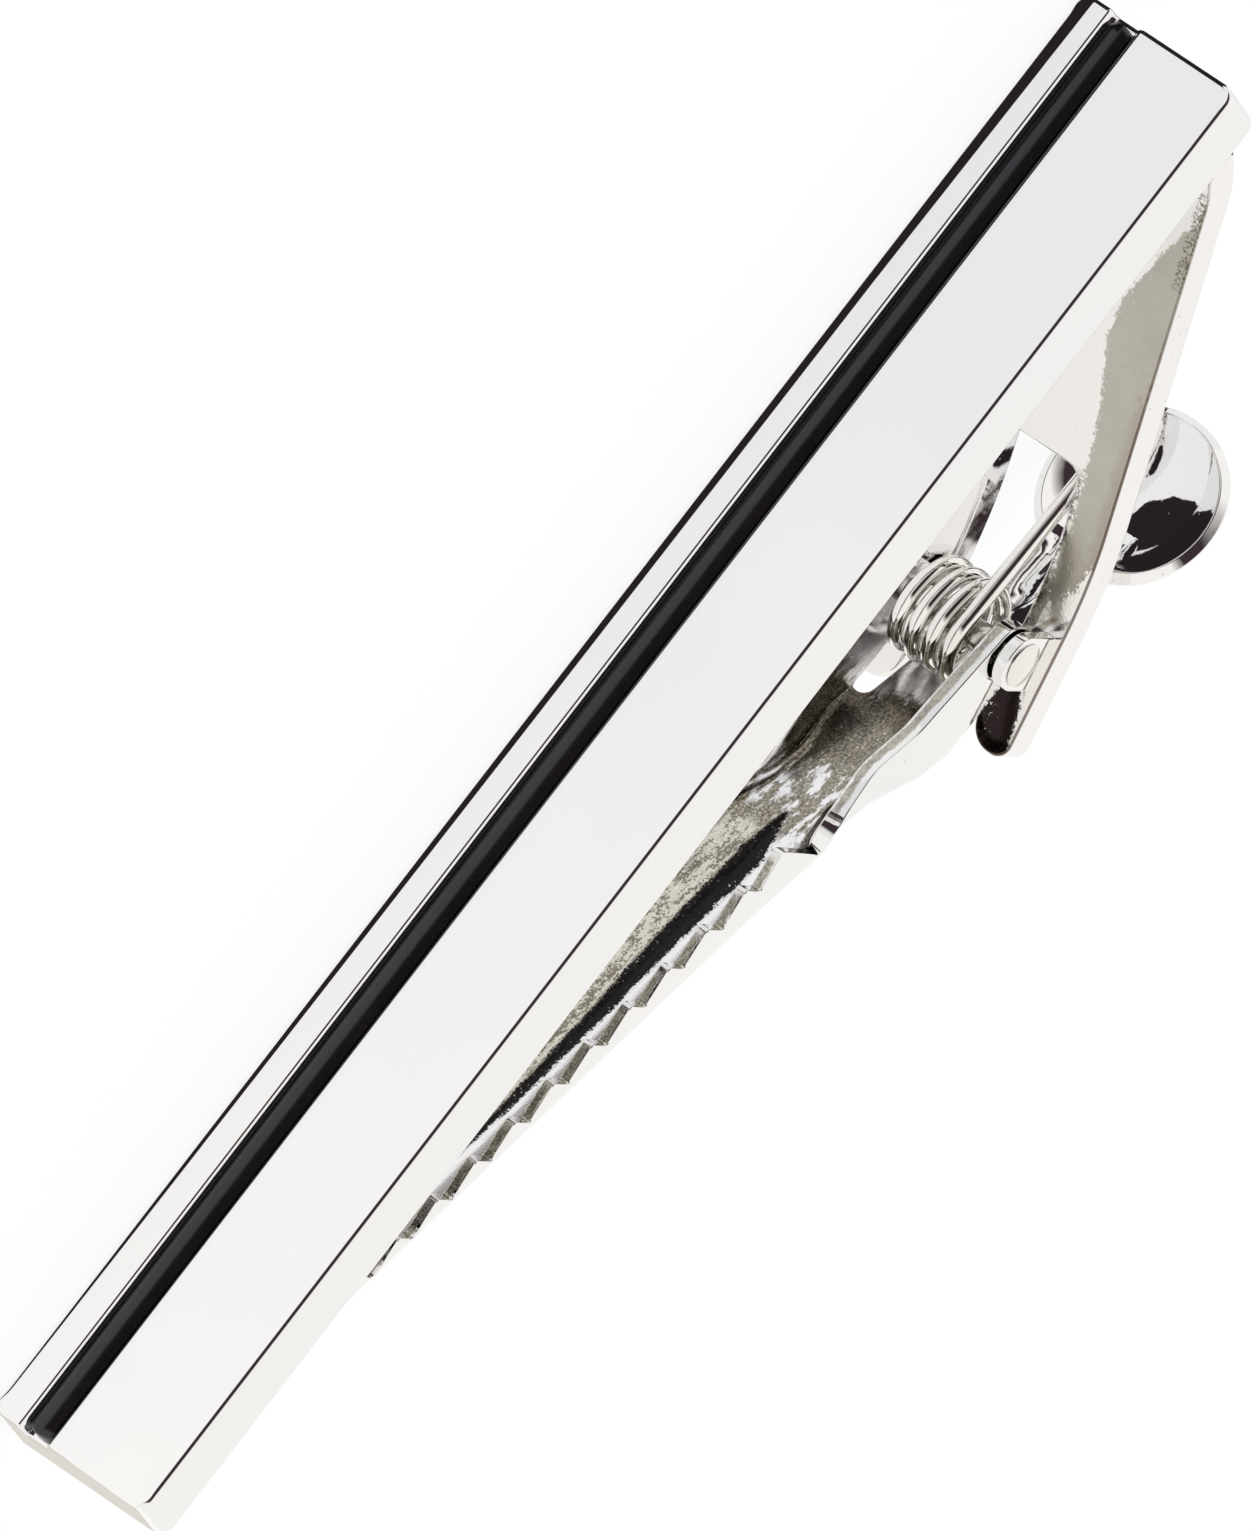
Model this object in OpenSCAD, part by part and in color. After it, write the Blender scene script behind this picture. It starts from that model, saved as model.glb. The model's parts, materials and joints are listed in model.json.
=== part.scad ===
// Sprung tie clip: plated bar with an enamel line, forked arm, toothed jaw lever, torsion spring.
// It lies on one long side of the bar. X runs from the arm end to the jaw end, Y from the
// front face of the bar to the back of the thumb pad, Z across the width. Millimetres.

/* [Front bar] */
// Length of the bar
bar_len = 55; // [48:0.5:66]
// Width of the bar, the same as the width of the arm
bar_w = 6.3; // [5.9:0.1:8]
// Thickness of the bar
bar_t = 2.4; // [1.6:0.1:3]
// Radius along the long edges of the bar
bar_edge_r = 0.2; // [0.1:0.05:0.4]
// Radius of the four upright corners of the bar
bar_corner_r = 0.5; // [0.2:0.1:0.9]
// Width of the milled channel for the enamel
groove_w = 0.98; // [0.6:0.02:1.4]
// Depth of the milled channel
groove_depth = 0.6; // [0.4:0.05:0.9]
// Width of the narrow band of metal beside the channel
groove_band = 1.13; // [0.8:0.01:1.4]

/* [Enamel] */
// Bare length of channel left at each end of the enamel
enamel_end_gap = 0.35; // [0.1:0.05:1]
// How far the sides of the enamel lie below the front face
enamel_sink = 0.14; // [0.05:0.01:0.25]
// Rise of the domed enamel between its two sides
enamel_dome = 0.1; // [0.02:0.01:0.13]
// Radius of the corners at the ends of the enamel
enamel_end_r = 0.3; // [0.1:0.05:0.45]

/* [Arm] */
// Thickness of the arm's strip
arm_t = 1.15; // [0.9:0.05:1.3]
// Distance from the end of the bar to the back of the arm's foot
arm_setback = 1.2; // [0.8:0.1:2.5]
// Angle between the bar and the foot of the arm
arm_foot_angle = 66; // [58:1:72]
// Angle between the bar and the long straight of the arm
arm_mid_angle = 43; // [40:0.5:44]
// Angle between the bar and the two prongs
arm_prong_angle = 25; // [23:0.5:27]
// Straight length at the foot
arm_foot_len = 0.5; // [0.46:0.02:0.8]
// Bend radius above the foot
arm_foot_bend_r = 3.2; // [2:0.1:5]
// Length of the long straight of the arm
arm_mid_len = 11.9; // [11:0.1:13]
// Bend radius between the long straight and the prongs
arm_prong_bend_r = 12.7; // [10:0.1:14]
// Straight length of the prongs
prong_len = 4.3; // [4:0.1:4.7]
// Width of the slot between the prongs
slot_w = 3.1; // [3.02:0.01:3.3]
// How far the slot runs into the long straight of the arm
slot_back = 1.46; // [0.8:0.02:2]
// Corner radius at the closed end of the slot
slot_corner_r = 0.55; // [0.2:0.05:1]
// Radius of the outer corner of each prong's end
prong_outer_r = 0.6; // [0.3:0.05:0.7]
// Radius of the inner corner of each prong's end
prong_inner_r = 0.95; // [0.5:0.05:1]
// Leg of the solder fillet at the inside of the foot
seam_leg = 0.24; // [0.14:0.02:0.24]
// Leg of the solder fillet behind the foot
seam_back_leg = 0.35; // [0.2:0.05:0.45]

/* [Pivot] */
// Diameter of the pivot pin
pin_d = 1; // [0.8:0.05:1.1]
// Diameter of the pin's riveted heads
pin_head_d = 1.5; // [1.3:0.05:1.8]
// Thickness of the pin's heads
pin_head_t = 0.18; // [0.1:0.02:0.2]
// Distance from the tips of the prongs back to the pin, along the prongs
pin_back = 3.34; // [3.2:0.02:3.5]
// Height of the pin's axis above the inner face of the prongs
pin_above = 1.23; // [1.2:0.01:1.35]
// Thickness of the arm's two pin ears
ear_t = 0.45; // [0.35:0.05:0.5]
// Radius of the round top of the arm's pin ears
ear_r = 0.95; // [0.85:0.05:1.1]
// Gap between the arm's ears and the lever's flanges
ear_gap = 0.1; // [0.06:0.01:0.15]
// Radial clearance of the lever on the pin
lever_fit = 0.05; // [0.02:0.01:0.09]
// Radial clearance of the pin in the arm's ears
ear_fit = 0.02; // [0.01:0.01:0.05]

/* [Jaw lever] */
// Thickness of the stamped sheet
sheet = 0.6; // [0.5:0.05:0.7]
// Distance from the end of the bar to the tip of the jaw
nose_setback = 5.2; // [4:0.1:7]
// Gap between the closed jaw and the bar
nose_gap = 0.05; // [0.03:0.01:0.2]
// Length of the rounded nose of the jaw
nose_len = 3.5; // [3:0.1:4.5]
// Rise of the web over the nose
nose_rise = 2.4; // [2.1:0.05:2.8]
// Half the width of the jaw at its tip
nose_half_w = 1.8; // [1.2:0.05:1.95]
// Length over which the jaw widens from its tip
nose_taper = 3.5; // [2.5:0.5:12]
// Width of the toothed jaw
jaw_w = 4.5; // [4:0.1:4.6]
// Width of the web at the waist behind the jaw
waist_w = 3.7; // [3.4:0.1:3.9]
// Distance from the pin to the end of the toothed edge, along the bar
heel_reach = 9.5; // [9:0.1:10.5]
// Height of the end of the toothed edge over the pin, towards the bar
heel_lift = 3.95; // [3.7:0.05:4.3]
// Number of notches in each toothed edge
tooth_count = 11; // [7:1:12]
// Pitch of the notches
tooth_pitch = 1.78; // [1.6:0.01:1.8]
// Depth of the notches
tooth_depth = 0.72; // [0.4:0.02:0.8]
// Distance from the end of the toothed edge to the first notch
tooth_start = 1.2; // [1.15:0.05:1.6]
// Flat left between two notches
tooth_land = 0.14; // [0.05:0.01:0.25]
// Distance from the pin to the throat of the web, along the bar
throat_reach = 8.6; // [8.3:0.1:9]
// Height of the throat over the pin, towards the bar
throat_lift = 0.9; // [0.7:0.05:1.1]
// Distance from the pin to the shoulder where the web narrows
shoulder_reach = 3.9; // [3.7:0.05:4.2]
// Depth of the shoulder behind the pin
shoulder_drop = 1.2; // [1.1:0.05:1.3]
// Gap between the lever's two pivot flanges, inside
flange_gap = 3.4; // [3.2:0.02:3.5]
// Radius of the pivot flanges round the pin
flange_r = 1.05; // [0.9:0.01:1.08]
// Distance from the pin to the crest of the pivot flanges
crest_reach = 3.6; // [3:0.1:4.2]
// Height of the crest of the pivot flanges over the pin
crest_lift = 1.6; // [1.3:0.05:1.9]
// Width of the neck that passes between the prongs
neck_w = 2.4; // [2:0.05:2.5]
// Distance from the pin to the first bend of the neck
neck_start_reach = 1.3; // [1.1:0.05:1.5]
// Depth of the first bend of the neck behind the pin
neck_start_drop = 2.5; // [2.45:0.05:2.7]
// Distance from the pin back to the second bend of the neck
neck_end_reach = 2.9; // [2.7:0.05:3.1]
// Depth of the second bend of the neck behind the pin
neck_end_drop = 5.2; // [5:0.05:5.3]

/* [Thumb pad] */
// Diameter of the thumb pad
pad_d = 6.3; // [5.4:0.1:6.3]
// Depth of the pad's dish from its rim to its back
pad_dish = 1.4; // [1.2:0.05:1.5]
// Tilt of the pad away from the bar
pad_tilt = 5; // [3:0.5:8]
// Distance from the pin back to the middle of the pad, along the bar
pad_reach = 7; // [6.8:0.1:7.5]
// Depth of the middle of the pad's rim behind the pin
pad_drop = 4.6; // [4.5:0.05:4.7]
// Thickness of the two ridges where the neck runs into the pad
ridge_t = 0.5; // [0.3:0.05:0.6]

/* [Torsion spring] */
// Diameter of the spring wire
wire_d = 0.52; // [0.4:0.01:0.52]
// Outer diameter of the coil
coil_d = 3.57; // [3.2:0.01:3.7]
// Whole turns of the coil, besides the part turn between its two legs
coil_turns = 2; // [1:1:2]
// Distance between the middles of the first and the last turn
coil_len = 2.34; // [2.34:0.01:2.36]
// Angle between the bar and the leg that presses on the arm
arm_leg_angle = 3; // [2.8:0.1:4]
// Length of the leg that presses on the arm
arm_leg_len = 7.4; // [6.9:0.1:8]
// Angle between the bar and the leg that presses on the neck
neck_leg_angle = 37; // [35:0.5:37.5]
// Length of the leg that presses on the neck
neck_leg_len = 5; // [4:0.1:5.2]

/* [Hidden] */
$fn = 64;

// One overrun serves every cut
over = 0.5;

// Colours of the finishes
chrome_color = [0.84, 0.84, 0.86];
enamel_color = [0.05, 0.05, 0.06];
solder_color = [0.76, 0.75, 0.73];
wire_color = [0.72, 0.71, 0.68];

// Directions and lines in the side view, where x runs along the bar and y is depth
function heading(a) = [cos(a), sin(a)];
function behind(a) = [-sin(a), cos(a)];
function between(p, q, share) = p + share * (q - p);
function along(p, q) = (q - p) / norm(q - p);
function back_of(p, q) = let (t = along(p, q)) [t.y, -t.x];

// A path moved to its front by one thickness, with mitred corners
function inset(path, t) =
    let (last = len(path) - 1)
    [for (i = [0:last])
        let (before = back_of(path[max(i - 1, 0)], path[max(i, 1)]))
        let (after = back_of(path[min(i, last - 1)], path[min(i + 1, last)]))
        path[i] - t * (before + after) / (1 + before * after)];

// Half widths, counted from the middle of the bar's width
half_w = bar_w / 2;
slot_half = slot_w / 2;
flange_in = flange_gap / 2;
flange_out = flange_in + sheet;
ear_in = flange_out + ear_gap;
ear_out = ear_in + ear_t;

// Middle line of the arm, as points with the heading there
bend_steps = 8;
foot_half = arm_t / 2 / sin(arm_foot_angle);
foot_mid = [arm_setback + foot_half, bar_t];
foot_top = foot_mid + arm_foot_len * heading(arm_foot_angle);
mid_start = bend_end(foot_top, arm_foot_bend_r, arm_foot_angle, arm_mid_angle);
mid_end = mid_start + arm_mid_len * heading(arm_mid_angle);
prong_start = bend_end(mid_end, arm_prong_bend_r, arm_mid_angle, arm_prong_angle);
prong_tip = prong_start + prong_len * heading(arm_prong_angle);
slot_end = mid_end - slot_back * heading(arm_mid_angle);
function bend_end(p, r, a0, a1) = p + r * [sin(a0) - sin(a1), cos(a1) - cos(a0)];
function bend(p, r, a0, a1) =
    [for (i = [0:bend_steps]) let (a = a0 + (a1 - a0) * i / bend_steps) [bend_end(p, r, a0, a), a]];
arm_line = concat(
    [[foot_mid - arm_t * heading(arm_foot_angle), arm_foot_angle]],
    bend(foot_top, arm_foot_bend_r, arm_foot_angle, arm_mid_angle),
    bend(mid_end, arm_prong_bend_r, arm_mid_angle, arm_prong_angle),
    [[prong_tip, arm_prong_angle]]);

// Pivot, which the prongs place and everything on the lever follows
pin_r = pin_d / 2;
pin = prong_tip - pin_back * heading(arm_prong_angle)
    - (pin_above + arm_t / 2) * behind(arm_prong_angle);

// Outer face of the lever's web, from the nose to the back of the pad
nose = [bar_len - nose_setback, bar_t + nose_gap];
nose_bulge_shares = [0.25, 0.4];
nose_bulge = nose + [-nose_bulge_shares.x * nose_len, nose_bulge_shares.y * nose_rise];
jaw_start = nose + [-nose_len, nose_rise];
throat = pin + [throat_reach, -throat_lift];
shoulder = pin + [shoulder_reach, shoulder_drop];
waist_share = 0.3;
waist_end = between(throat, shoulder, waist_share);
neck_start = pin + [neck_start_reach, neck_start_drop];
neck_end = pin + [-neck_end_reach, neck_end_drop];

// The pad is a cap of a ball; its spine runs from the neck's end to the ball's back
pad_r = pad_d / 2;
ball_r = (pad_r * pad_r + pad_dish * pad_dish) / (2 * pad_dish);
rim_mid = pin + [-pad_reach, pad_drop];
ball_mid = rim_mid - (ball_r - pad_dish) * [sin(pad_tilt), cos(pad_tilt)];
depth = ball_mid.y + ball_r;
spine_end_angle = 15;
spine_shares = [0.46, 0.22];
spine_end = ball_mid + ball_r * [sin(spine_end_angle), cos(spine_end_angle)];
spine_mid = [between(spine_end, neck_end, spine_shares.x).x,
             between(spine_end, neck_end, spine_shares.y).y];
web = [nose, nose_bulge, jaw_start, throat, waist_end, shoulder, neck_start, neck_end, spine_mid,
       spine_end];
web_front = inset(web, sheet);

// Toothed edge from the heel to the nose: each notch has a long slope and a short steep side
heel = pin + [heel_reach, -heel_lift];
heel_foot_share = 0.5;
heel_foot = between(throat, web_front[3], heel_foot_share);
jaw_edge = along(heel, nose);
jaw_inward = [-jaw_edge.y, jaw_edge.x];
steep_share = 0.3;
tooth_steep = steep_share * tooth_pitch;
tooth_slope = tooth_pitch - tooth_steep - tooth_land;
toothed_edge = [for (i = [0:tooth_count - 1])
    let (root = heel + (tooth_start + i * tooth_pitch) * jaw_edge)
    each [root - tooth_slope * jaw_edge, root + tooth_depth * jaw_inward,
          root + tooth_steep * jaw_edge]];

// Coil of the spring, as a helix round the pin
coil_r = (coil_d - wire_d) / 2;
coil_from = neck_leg_angle - 90;
coil_to = 90 + arm_leg_angle + 360 * coil_turns;
wire_sides = 6;
rings_per_turn = 8;
coil_rings = ceil((coil_to - coil_from) * rings_per_turn / 360);
function on_coil(share) =
    let (a = coil_from + share * (coil_to - coil_from))
    [pin.x + coil_r * cos(a), pin.y - coil_r * sin(a), (share - 0.5) * coil_len];
function neck_leg(share) =
    on_coil(0) + share * neck_leg_len * [-cos(neck_leg_angle), sin(neck_leg_angle), 0];
function arm_leg(share) =
    on_coil(1) + share * arm_leg_len * [-cos(arm_leg_angle), sin(arm_leg_angle), 0];
function spring_line(rings) = concat(
    [neck_leg(1), neck_leg(1 - wire_d / neck_leg_len)],
    [for (i = [0:rings]) on_coil(i / rings)],
    [arm_leg(1 - wire_d / arm_leg_len), arm_leg(1)]);

// Least gap of the wire to itself, measured between points a third of a turn or more apart
probes_per_ring = 12;
probe_apart_angle = 120;
probe_step = 4;
probe_rings = probes_per_ring * coil_rings;
probe_skip = ceil(probe_rings * probe_apart_angle / (coil_to - coil_from));
probe = concat(
    [for (i = [0:2 * probe_skip]) neck_leg(1 - i / (2 * probe_skip + 1))],
    [for (i = [0:probe_rings]) on_coil(i / probe_rings)],
    [for (i = [1:2 * probe_skip]) arm_leg(i / (2 * probe_skip))]);
least_gap = min([for (i = [0:len(probe) - 1])
    for (j = [i + 2 * probe_skip:probe_step:len(probe) - 1]) norm(probe[i] - probe[j])]) - wire_d;
echo("least gap of the spring wire to itself", least_gap);
echo("pin in the part's frame", [pin.x - bar_len / 2, pin.y - depth / 2, half_w]);
echo("whole depth", depth);

// Placing: from the side view's corner to the middle of the base
module in_frame() {
    translate([-bar_len / 2, -depth / 2, half_w]) children();
}

// A side view drawn in x and y, made half_width thick to each side
module through_width(half_width) {
    translate([0, 0, -half_width]) linear_extrude(2 * half_width) children();
}

// A side view made into two equal plates, one on each side
module both_sides(inner, outer) {
    for (side = [inner, -outer]) {
        translate([0, 0, side]) linear_extrude(outer - inner) children();
    }
}

// A plan drawn in length and width, cut right through the depth
module through_depth() {
    translate([0, depth + over, 0]) rotate([90, 0, 0]) linear_extrude(depth + 2 * over) children();
}

// A section drawn in depth and width, run along the bar
module along_bar(from, length) {
    translate([from, 0, 0]) rotate([90, 0, 90]) linear_extrude(length) children();
}

// What a round corner at the origin takes off material that lies below and left of it
module corner_cut(r) {
    translate([-r, -r]) difference() {
        square(r + over);
        circle(r);
    }
}

// A rectangle with four rounded corners
module rounded_rect(size, r) {
    difference() {
        square(size);
        translate(size) corner_cut(r);
        translate([0, size.y]) mirror([1, 0]) corner_cut(r);
        translate([size.x, 0]) mirror([0, 1]) corner_cut(r);
        rotate(180) corner_cut(r);
    }
}

// Front bar with the milled channel along one side
module front_bar() {
    color(chrome_color) in_frame() difference() {
        intersection() {
            along_bar(0, bar_len) translate([0, -half_w]) rounded_rect([bar_t, bar_w], bar_edge_r);
            through_depth() translate([0, -half_w]) rounded_rect([bar_len, bar_w], bar_corner_r);
        }
        along_bar(-over, bar_len + 2 * over) translate([-over, groove_band - half_w])
            square([groove_depth + over, groove_w]);
    }
}

// Domed enamel line that fills the channel
module enamel_stripe() {
    groove_mid = groove_band - half_w + groove_w / 2;
    dome_r = (pow(groove_w / 2, 2) + pow(enamel_dome, 2)) / (2 * enamel_dome);
    line_len = bar_len - 2 * enamel_end_gap;
    color(enamel_color) in_frame() intersection() {
        along_bar(enamel_end_gap, line_len) translate([0, groove_mid]) intersection() {
            translate([0, -groove_w / 2]) square([groove_depth, groove_w]);
            translate([enamel_sink - enamel_dome + dome_r, 0]) circle(dome_r, $fn = 256);
        }
        through_depth() translate([enamel_end_gap, groove_mid - groove_w / 2])
            rounded_rect([line_len, groove_w], enamel_end_r);
    }
}

// Side view of the arm's strip, cut flat where it stands on the bar
module arm_side() {
    difference() {
        polygon(concat(
            [for (p = arm_line) p[0] + arm_t / 2 * behind(p[1])],
            [for (i = [len(arm_line) - 1:-1:0]) arm_line[i][0] - arm_t / 2 * behind(arm_line[i][1])]));
        translate([-arm_t, bar_t - 2 * arm_t]) square([foot_mid.x + 2 * arm_t, 2 * arm_t]);
    }
}

// Slot between the prongs: square to the strip at its closed end, open at the tips
module slot_cut() {
    slot_len = slot_back + prong_len;
    translate(slot_end) rotate(arm_mid_angle) rotate([90, 0, 0]) translate([0, 0, -2 * arm_t])
        linear_extrude(4 * arm_t) difference() {
            translate([0, -slot_half]) square([slot_len, slot_w]);
            translate([0, slot_half]) mirror([1, 0]) corner_cut(slot_corner_r);
            translate([0, -slot_half]) rotate(180) corner_cut(slot_corner_r);
        }
    translate([mid_end.x, mid_end.y - 2 * arm_t, -slot_half])
        cube([prong_tip.x - mid_end.x + 2 * arm_t, prong_tip.y - mid_end.y + 4 * arm_t, slot_w]);
}

// Round corners at the ends of the prongs, for one prong
module prong_rounding() {
    tip_x = prong_tip.x + arm_t / 2 * sin(arm_prong_angle);
    through_depth() {
        translate([tip_x, half_w]) corner_cut(prong_outer_r);
        translate([tip_x, slot_half]) mirror([0, 1]) corner_cut(prong_inner_r);
    }
}

// Side view of one pin ear, from the prong to its round top
module ear_side() {
    translate(pin) circle(ear_r);
    translate(pin) rotate(arm_prong_angle) translate([-ear_r, 0])
        square([2 * ear_r, pin_above + arm_t / 2]);
}

// Arm: one strip with an open fork and two pin ears
module clip_arm() {
    color(chrome_color) in_frame() difference() {
        union() {
            difference() {
                through_width(half_w) arm_side();
                slot_cut();
                prong_rounding();
                mirror([0, 0, 1]) prong_rounding();
            }
            both_sides(ear_in, ear_out) ear_side();
        }
        translate(pin) cylinder(h = bar_w + 2 * over, r = pin_r + ear_fit, center = true);
    }
}

// Solder fillets in front of the arm's foot and behind it; the front one ends below the bend
module braze_seam() {
    rise = heading(arm_foot_angle);
    inner = foot_mid + [foot_half, 0];
    outer = foot_mid - [foot_half, 0];
    front_leg = min(seam_leg, arm_foot_len - arm_t / 2 / tan(arm_foot_angle));
    color(solder_color) in_frame() through_width(half_w - bar_edge_r) {
        polygon([inner, inner + [front_leg, 0], inner + front_leg * rise]);
        polygon([outer, outer + seam_back_leg * rise, outer - [seam_back_leg, 0]]);
    }
}

// Pivot pin with a riveted head on each ear
module pivot_pin() {
    color(chrome_color) in_frame() translate(pin) {
        cylinder(h = 2 * ear_out, r = pin_r, center = true);
        for (end = [ear_out, -ear_out - pin_head_t]) {
            translate([0, 0, end]) cylinder(h = pin_head_t, d = pin_head_d);
        }
    }
}

// Plan of the jaw, wide at the heel and narrow at the nose
module jaw_plan(tip_half, full_half) {
    taper_end = nose.x - nose_taper;
    polygon([[pin.x, -full_half], [taper_end, -full_half], [nose.x, -tip_half],
             [nose.x, tip_half], [taper_end, full_half], [pin.x, full_half]]);
}

// Jaw: a channel with two toothed flanges and its web at the back, closed at the nose
module jaw() {
    jaw_half = jaw_w / 2;
    intersection() {
        through_width(jaw_half)
            polygon(concat([nose, nose_bulge, jaw_start, throat, heel_foot, heel], toothed_edge));
        through_depth() difference() {
            jaw_plan(nose_half_w, jaw_half);
            jaw_plan(nose_half_w - sheet, jaw_half - sheet);
        }
    }
    intersection() {
        through_width(jaw_half) polygon(concat(
            [for (i = [0:3]) web[i]],
            [for (i = [3:-1:0]) web_front[i]]));
        through_depth() jaw_plan(nose_half_w, jaw_half);
    }
}

// Web behind the jaw: waist, wide part at the flanges, and the neck between the prongs
module web_strip() {
    neck_half = neck_w / 2;
    intersection() {
        through_width(flange_out) polygon(concat(
            [for (i = [3:9]) web[i]],
            [for (i = [9:-1:3]) web_front[i]]));
        through_depth() {
            translate([0, -neck_half]) square([throat.x + over, neck_w]);
            translate([shoulder.x, -flange_out])
                square([waist_end.x - shoulder.x, 2 * flange_out]);
            translate([shoulder.x, -waist_w / 2])
                square([throat.x + over - shoulder.x, waist_w]);
        }
    }
}

// Side view of one pivot flange
module flange_side() {
    flange_flat = shoulder_reach - flange_r;
    translate(pin) circle(flange_r);
    polygon([pin - [0, flange_r], pin + [crest_reach, -crest_lift], web_front[4], waist_end,
             shoulder, pin + [flange_flat, flange_r], pin + [0, flange_r]]);
}

// Ridges at the sides of the neck where it runs into the pad
module neck_ridges() {
    both_sides(neck_w / 2 - ridge_t, neck_w / 2)
        polygon([web[7], web_front[7], rim_mid + pad_r * [cos(pad_tilt), -sin(pad_tilt)],
                 rim_mid, spine_end, spine_mid]);
}

// Space in front of the ball that the rim's plane keeps open
module rim_front() {
    translate(rim_mid) rotate(-pad_tilt) translate([-2 * pad_r, -4 * pad_r, -2 * pad_r])
        cube(4 * pad_r);
}

// Dished pad before it is hollowed
module pad_back() {
    difference() {
        translate(ball_mid) sphere(ball_r, $fn = 96);
        rim_front();
    }
}

// Channel that lets the neck's floor run through the rim into the dish
module neck_mouth() {
    through_width(neck_w / 2 - ridge_t)
        polygon([web_front[7], web_front[8], web_front[9], ball_mid,
                 [neck_end.x, ball_mid.y]]);
}

// Lever: one stamping with the toothed jaw, the pivot flanges, the neck and the thumb pad
module jaw_lever() {
    color(chrome_color) in_frame() difference() {
        union() {
            jaw();
            web_strip();
            both_sides(flange_in, flange_out) flange_side();
            neck_ridges();
            pad_back();
        }
        translate(pin) cylinder(h = bar_w + 2 * over, r = pin_r + lever_fit, center = true);
        translate(ball_mid) sphere(ball_r - sheet, $fn = 96);
        neck_mouth();
        translate([jaw_start.x, bar_t - bar_w, -half_w]) cube([bar_len, nose.y - bar_t + bar_w, bar_w]);
    }
}

// A round wire swept along a line of points that never runs straight across the width
module wire(line) {
    last = len(line) - 1;
    rings = [for (i = [0:last])
        let (t = along(line[max(i - 1, 0)], line[min(i + 1, last)]))
        let (a = along([0, 0, 0], [0, 0, 1] - t.z * t))
        let (b = cross(t, a))
        for (k = [0:wire_sides - 1])
            line[i] + wire_d / 2 * (a * cos(360 * k / wire_sides) + b * sin(360 * k / wire_sides))];
    sides = [for (i = [0:last - 1], k = [0:wire_sides - 1])
        let (p = i * wire_sides + k, q = i * wire_sides + (k + 1) % wire_sides)
        each [[p, p + wire_sides, q + wire_sides], [p, q + wire_sides, q]]];
    ends = [for (k = [1:wire_sides - 2])
        each [[0, k, k + 1],
              [last * wire_sides, last * wire_sides + k + 1, last * wire_sides + k]]];
    polyhedron(rings, concat(sides, ends));
}

// Torsion spring wound round the pin, with a leg on the arm and a leg on the neck
module torsion_spring() {
    color(wire_color) in_frame() wire(spring_line(coil_rings));
}

front_bar();
enamel_stripe();
clip_arm();
braze_seam();
pivot_pin();
jaw_lever();
torsion_spring();
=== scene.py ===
# %% [markdown]
# # A sprung tie clip
# A tie clip is a polished bar with a line of black enamel. Behind it a forked arm carries a
# toothed jaw lever on a pin, and a torsion spring closes the jaw on the tie.
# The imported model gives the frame. Each piece here is dressed over its solid, in metres.

# %% Load the frame
import json
import math

import bpy
import numpy as np
from mathutils import Matrix, Vector
from mathutils.geometry import delaunay_2d_cdt


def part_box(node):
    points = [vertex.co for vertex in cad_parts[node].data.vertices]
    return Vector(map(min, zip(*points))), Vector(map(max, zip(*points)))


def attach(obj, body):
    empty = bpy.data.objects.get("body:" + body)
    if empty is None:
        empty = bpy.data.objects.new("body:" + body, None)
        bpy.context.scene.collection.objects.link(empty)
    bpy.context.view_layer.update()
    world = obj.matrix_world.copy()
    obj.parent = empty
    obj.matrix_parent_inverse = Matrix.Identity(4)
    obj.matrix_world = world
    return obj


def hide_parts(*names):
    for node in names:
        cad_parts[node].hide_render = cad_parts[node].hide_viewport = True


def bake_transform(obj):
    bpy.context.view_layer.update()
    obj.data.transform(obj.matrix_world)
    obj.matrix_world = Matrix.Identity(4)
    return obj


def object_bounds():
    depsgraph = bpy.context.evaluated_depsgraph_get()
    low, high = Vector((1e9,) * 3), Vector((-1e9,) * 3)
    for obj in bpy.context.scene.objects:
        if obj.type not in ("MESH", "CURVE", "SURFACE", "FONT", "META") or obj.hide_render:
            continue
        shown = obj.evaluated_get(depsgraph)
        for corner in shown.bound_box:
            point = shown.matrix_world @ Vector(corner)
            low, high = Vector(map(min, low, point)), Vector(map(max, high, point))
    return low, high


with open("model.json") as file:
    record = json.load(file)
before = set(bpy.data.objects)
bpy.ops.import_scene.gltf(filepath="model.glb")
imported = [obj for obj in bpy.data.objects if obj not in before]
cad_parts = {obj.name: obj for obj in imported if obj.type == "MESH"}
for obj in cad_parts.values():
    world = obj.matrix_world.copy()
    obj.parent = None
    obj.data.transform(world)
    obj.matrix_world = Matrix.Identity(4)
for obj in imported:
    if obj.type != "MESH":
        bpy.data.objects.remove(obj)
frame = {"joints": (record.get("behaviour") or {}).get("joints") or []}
cad_lo, cad_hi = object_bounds()
print("CAD box in mm:", [round(1000 * (h - l), 2) for l, h in zip(cad_lo, cad_hi)])

# %% [markdown]
# ## Side-view coordinates
# Every piece is drawn in millimetres in the clip's own side view: `s` runs along the bar from
# the arm's end, `d` is depth behind the front face, and `w` is measured across the width from
# the middle. The bar's box in the frame says where they start, and the joint gives the pin.

# %% From side view to frame
MM = 0.001
bar_lo, bar_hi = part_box("front_bar")
BAR_LEN = (bar_hi.x - bar_lo.x) / MM
BAR_T = (bar_hi.y - bar_lo.y) / MM
HALF_W = (bar_hi.z - bar_lo.z) / MM / 2
pin_at = [j for j in frame["joints"] if j["name"] == "lever_pivot"][0]["pos_m"]
PIN = np.array([(pin_at[0] - bar_lo.x) / MM, (pin_at[1] - bar_lo.y) / MM])


def place(points):
    """Side-view points (s, d, w) in mm become frame points in metres: an offset and a scale."""
    start = np.array([bar_lo.x, bar_lo.y, bar_lo.z + HALF_W * MM])
    return np.asarray(points, float) * MM + start


print("bar in mm:", round(BAR_LEN, 2), round(BAR_T, 2), "pin at", PIN.round(3))

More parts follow.
